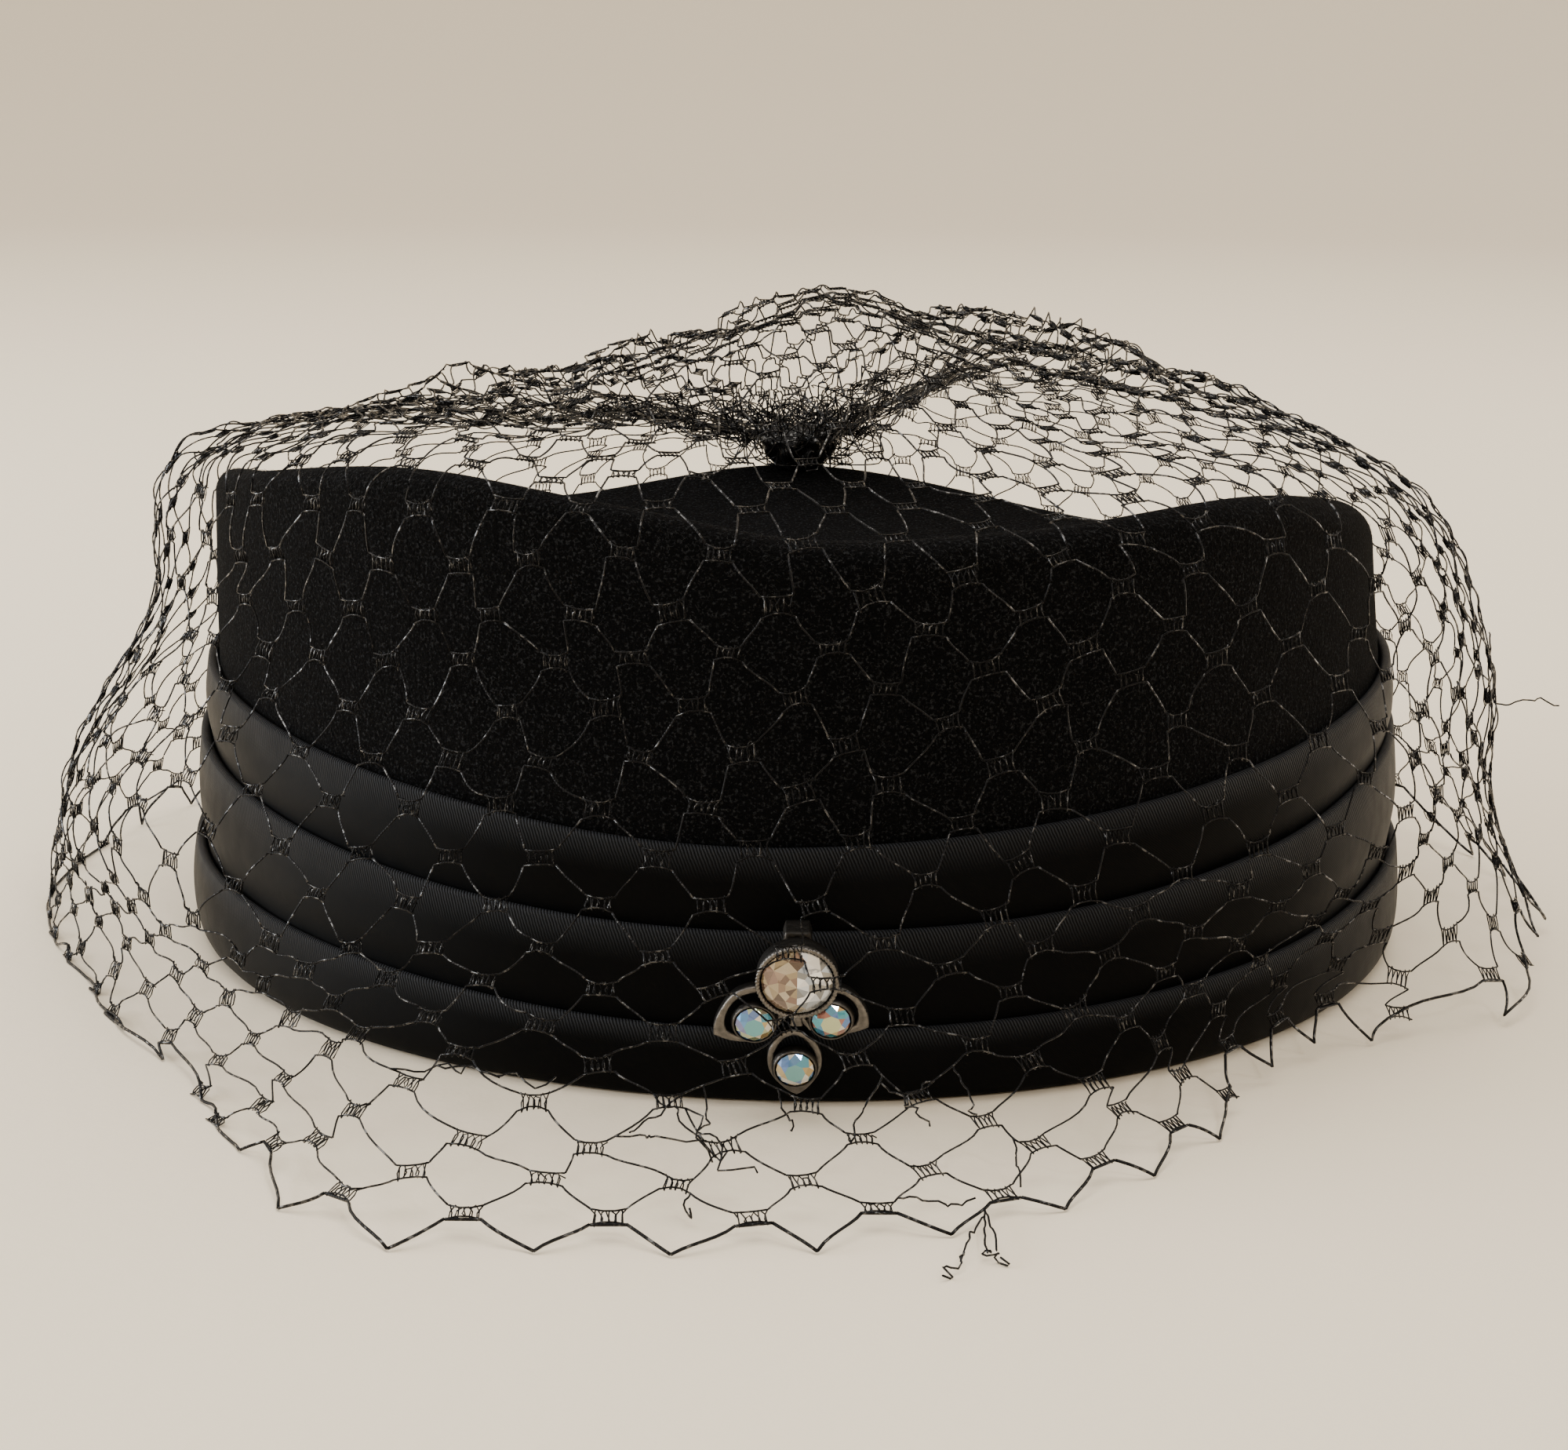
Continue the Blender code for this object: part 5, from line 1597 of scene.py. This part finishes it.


# painted reflections and highlights of the clear stone: browns and beiges for its darker facets, greys and near white
# for its lit ones
CLEAR_REFLECTION_TONES = (
    (0.0, (0.07, 0.048, 0.030)),
    (0.14, (0.26, 0.165, 0.125)),
    (0.28, (0.36, 0.28, 0.165)),
    (0.42, (0.52, 0.45, 0.33)),
    (0.56, (0.22, 0.23, 0.24)),
    (0.70, (0.52, 0.60, 0.70)),
    (0.84, (0.97, 0.98, 1.0)),
    (1.0, (0.80, 0.80, 0.78)),
)
# the rainbow stones' coating colours, with near white as a painted highlight
RAINBOW_COATING_AND_REFLECTION_TONES = (
    (0.0, (0.60, 0.62, 0.34)),
    (0.2, (0.07, 0.40, 0.50)),
    (0.4, (0.13, 0.27, 0.62)),
    (0.6, (0.36, 0.15, 0.12)),
    (0.8, (0.52, 0.38, 0.16)),
    (1.0, (0.88, 0.88, 0.84)),
)
# Each stone: place in MAIN_STONE_RADIUS, whether it is the main one, its table's tone (none for a faceted table)
# and the tones its facets take in turn left and right of its middle. These tones are painted reflections and
# highlights, mostly darker on the left and lighter on the right; the rainbow stones' tones also hold their coating's
# colours.
Stone = namedtuple("Stone", "name x z main table left right")
STONES = (
    Stone(
        "main",
        0,
        0,
        True,
        None,
        (0.28, 0.13, 0.42, 0.03, 0.33, 0.18, 0.40, 0.08),
        (0.84, 0.55, 0.66, 0.95, 0.52, 0.76, 0.6, 0.88),
    ),
    Stone("left", LEAVES[0].x, LEAVES[0].z, False, 0.17, (0.42, 0.03, 0.47, 0.35), (0.95, 0.8, 0.03, 0.9, 0.25)),
    Stone("right", LEAVES[1].x, LEAVES[1].z, False, 0.02, (0.2, 0.6, 0.3), (0.4, 0.6, 0.95, 0.8, 0.22)),
    Stone("lower", LEAVES[2].x, LEAVES[2].z, False, 0.16, (0.36, 0.95, 0.82, 0.4), (0.25, 0.8, 0.98, 0.38)),
)


def build_stones():
    clear = stone_material("clear foiled glass", CLEAR_REFLECTION_TONES, 0.10)
    rainbow = stone_material("rainbow foiled glass", RAINBOW_COATING_AND_REFLECTION_TONES, 0.12)
    main = (MAIN_STONE_RADIUS, MAIN_STONE_HEIGHT, MAIN_CUP_DEPTH, 10)
    small = (SMALL_STONE_RADIUS, SMALL_STONE_HEIGHT, SMALL_CUP_DEPTH, 8)
    for stone in STONES:
        radius, height, cup_depth, sides = main if stone.main else small
        mesh = gem_mesh("cut_stone_" + stone.name, radius, height, sides, stone.table, stone.left, stone.right)
        place = (stone.x * MAIN_STONE_RADIUS, height * 0.08 - cup_depth, stone.z * MAIN_STONE_RADIUS)
        mesh.transform(Matrix.Translation(place))
        mesh.transform(brooch_matrix())
        material, slot = (clear, "clear_stone") if stone.main else (rainbow, "rainbow_stone")
        add_piece("cut_stone_" + stone.name, mesh, material, ["stone_" + stone.name])


# Stage

CAMERA_PLACE = (-0.0021, -0.4661, 0.1358)
CAMERA_PITCH = math.radians(12.865)
CAMERA_ROLL = math.radians(0.771)
CAMERA_LENS = 68.8

# Soft lamps: name, place, what they point at, width, height, watts and colour
Lamp = namedtuple("Lamp", "name place target width height watts colour")
LAMPS = (
    Lamp("overhead", (0.0, 0.35, 1.5), (0, 0, 0), 1.8, 1.8, 32.0, (1.0, 0.95, 0.88)),
    Lamp("left_window", (-1.0, 0.0, 0.27), (-0.06, 0, 0.02), 1.0, 0.5, 15.0, (0.90, 0.95, 1.0)),
    Lamp("right_window", (0.95, 0.50, 0.27), (0.06, 0, 0.02), 0.5, 0.5, 2.8, (1.0, 0.93, 0.85)),
    Lamp("sparkle", (0.35, -0.9, 0.75), (0, -0.1, 0.02), 0.12, 0.12, 2.4, (1.0, 1.0, 1.0)),
)

# The floor rises all round as a bowl with a bent foot
BOWL_RADIUS = 3.2
BOWL_BEND = 1.4
BOWL_HEIGHT = 1.9
BOWL_SIDES, BEND_POINTS = 96, 13
ROOM_COLOUR = (0.82, 0.745, 0.65, 1.0)
ROOM_STRENGTH = 0.95


def build_stage():
    scene = bpy.context.scene
    turn = 2 * np.pi * np.arange(BOWL_SIDES)[:, None] / BOWL_SIDES
    bend = np.radians(np.linspace(0, 90, BEND_POINTS))
    reach = np.concatenate([[0.001, 1.0, BOWL_RADIUS - BOWL_BEND], BOWL_RADIUS - BOWL_BEND * (1 - np.sin(bend[1:]))])
    height = np.concatenate([[0, 0, 0], BOWL_BEND * (1 - np.cos(bend[1:]))])
    reach, height = np.append(reach, BOWL_RADIUS), np.append(height, BOWL_HEIGHT)
    points = np.stack(np.broadcast_arrays(reach * np.sin(turn), reach * np.cos(turn), height[None]), axis=-1)
    mesh = mesh_from("floor", points.reshape(-1, 3), grid_faces(BOWL_SIDES, len(reach)))
    rise = np.broadcast_to(np.clip(reach / 1.8 - 0.2, 0, 1)[None], (BOWL_SIDES, len(reach)))
    mark_points(mesh, "Rise", rise)
    mesh.materials.append(floor_material())
    floor = bpy.data.objects.new("floor", mesh)
    scene.collection.objects.link(floor)
    world = bpy.data.worlds.new("soft room")
    world.use_nodes = True
    background = world.node_tree.nodes["Background"]
    background.inputs["Color"].default_value = ROOM_COLOUR
    background.inputs["Strength"].default_value = ROOM_STRENGTH
    scene.world = world
    for lamp in LAMPS:
        light = bpy.data.lights.new(lamp.name, "AREA")
        light.shape = "RECTANGLE"
        light.size, light.size_y, light.energy, light.color = lamp.width, lamp.height, lamp.watts, lamp.colour
        holder = bpy.data.objects.new(lamp.name, light)
        holder.location = lamp.place
        holder.rotation_euler = (Vector(lamp.target) - Vector(lamp.place)).to_track_quat("-Z", "Y").to_euler()
        scene.collection.objects.link(holder)
    camera = bpy.data.cameras.new("camera")
    camera.sensor_fit = "HORIZONTAL"
    camera.sensor_width = 36.0
    camera.lens = CAMERA_LENS
    camera.clip_start = 0.01
    holder = bpy.data.objects.new("camera", camera)
    right, up = Vector((1, 0, 0)), Vector((0, math.sin(CAMERA_PITCH), math.cos(CAMERA_PITCH)))
    back = Vector((0, -math.cos(CAMERA_PITCH), math.sin(CAMERA_PITCH)))
    turned_right = right * math.cos(CAMERA_ROLL) + up * math.sin(CAMERA_ROLL)
    turned_up = up * math.cos(CAMERA_ROLL) - right * math.sin(CAMERA_ROLL)
    axes = Matrix((turned_right, turned_up, back)).transposed().to_4x4()
    holder.matrix_world = Matrix.Translation(CAMERA_PLACE) @ axes
    scene.collection.objects.link(holder)
    scene.camera = holder


# Operators


class HAT_OT_stage(bpy.types.Operator):
    """Add the floor, the soft lamps and the camera"""

    bl_idname = "hat.stage"
    bl_label = "Stage"
    bl_options = {"REGISTER", "UNDO"}

    def execute(self, context):
        build_stage()
        return {"FINISHED"}


class HAT_OT_crown(bpy.types.Operator):
    """Build the felt crown and its nap"""

    bl_idname = "hat.crown"
    bl_label = "Felt Crown"
    bl_options = {"REGISTER", "UNDO"}

    def execute(self, context):
        build_nap(build_crown(), nap_material())
        return {"FINISHED"}


class HAT_OT_folds(bpy.types.Operator):
    """Build the three satin folds"""

    bl_idname = "hat.folds"
    bl_label = "Satin Folds"
    bl_options = {"REGISTER", "UNDO"}

    def execute(self, context):
        material = satin_material()
        for index in range(len(FOLDS)):
            build_fold(index, material)
        return {"FINISHED"}


class HAT_OT_brooch(bpy.types.Operator):
    """Build the brooch's setting and its four stones"""

    bl_idname = "hat.brooch"
    bl_label = "Brooch"
    bl_options = {"REGISTER", "UNDO"}

    def execute(self, context):
        build_setting()
        build_stones()
        return {"FINISHED"}


class HAT_OT_veil(bpy.types.Operator):
    """Build the net veil, its hem and its gather"""

    bl_idname = "hat.veil"
    bl_label = "Net Veil"
    bl_options = {"REGISTER", "UNDO"}

    def execute(self, context):
        material = net_material()
        build_veil(material)
        build_gather(material)
        return {"FINISHED"}


class HAT_PT_panel(bpy.types.Panel):
    bl_idname = "HAT_PT_panel"
    bl_label = "Pillbox Hat"
    bl_space_type = "VIEW_3D"
    bl_region_type = "UI"
    bl_category = "Hat"

    def draw(self, context):
        for group in (context.scene.hat_sizes, context.scene.hat_colours):
            for label in group.bl_rna.properties.keys():
                if label not in ("rna_type", "name"):
                    self.layout.prop(group, label)
        for operator in OPERATORS:
            self.layout.operator(operator.bl_idname)


OPERATORS = (HAT_OT_stage, HAT_OT_crown, HAT_OT_folds, HAT_OT_brooch, HAT_OT_veil)
CLASSES = (HatSizes, HatColours, *OPERATORS, HAT_PT_panel)


def register():
    for item in CLASSES:
        bpy.utils.register_class(item)
    bpy.types.Scene.hat_sizes = PointerProperty(type=HatSizes)
    bpy.types.Scene.hat_colours = PointerProperty(type=HatColours)


def unregister():
    del bpy.types.Scene.hat_colours
    del bpy.types.Scene.hat_sizes
    for item in reversed(CLASSES):
        bpy.utils.unregister_class(item)


def main():
    register()
    for operator in OPERATORS:
        name = operator.bl_idname.split(".")[1]
        getattr(bpy.ops.hat, name)()
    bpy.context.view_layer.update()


if __name__ == "__main__":
    main()
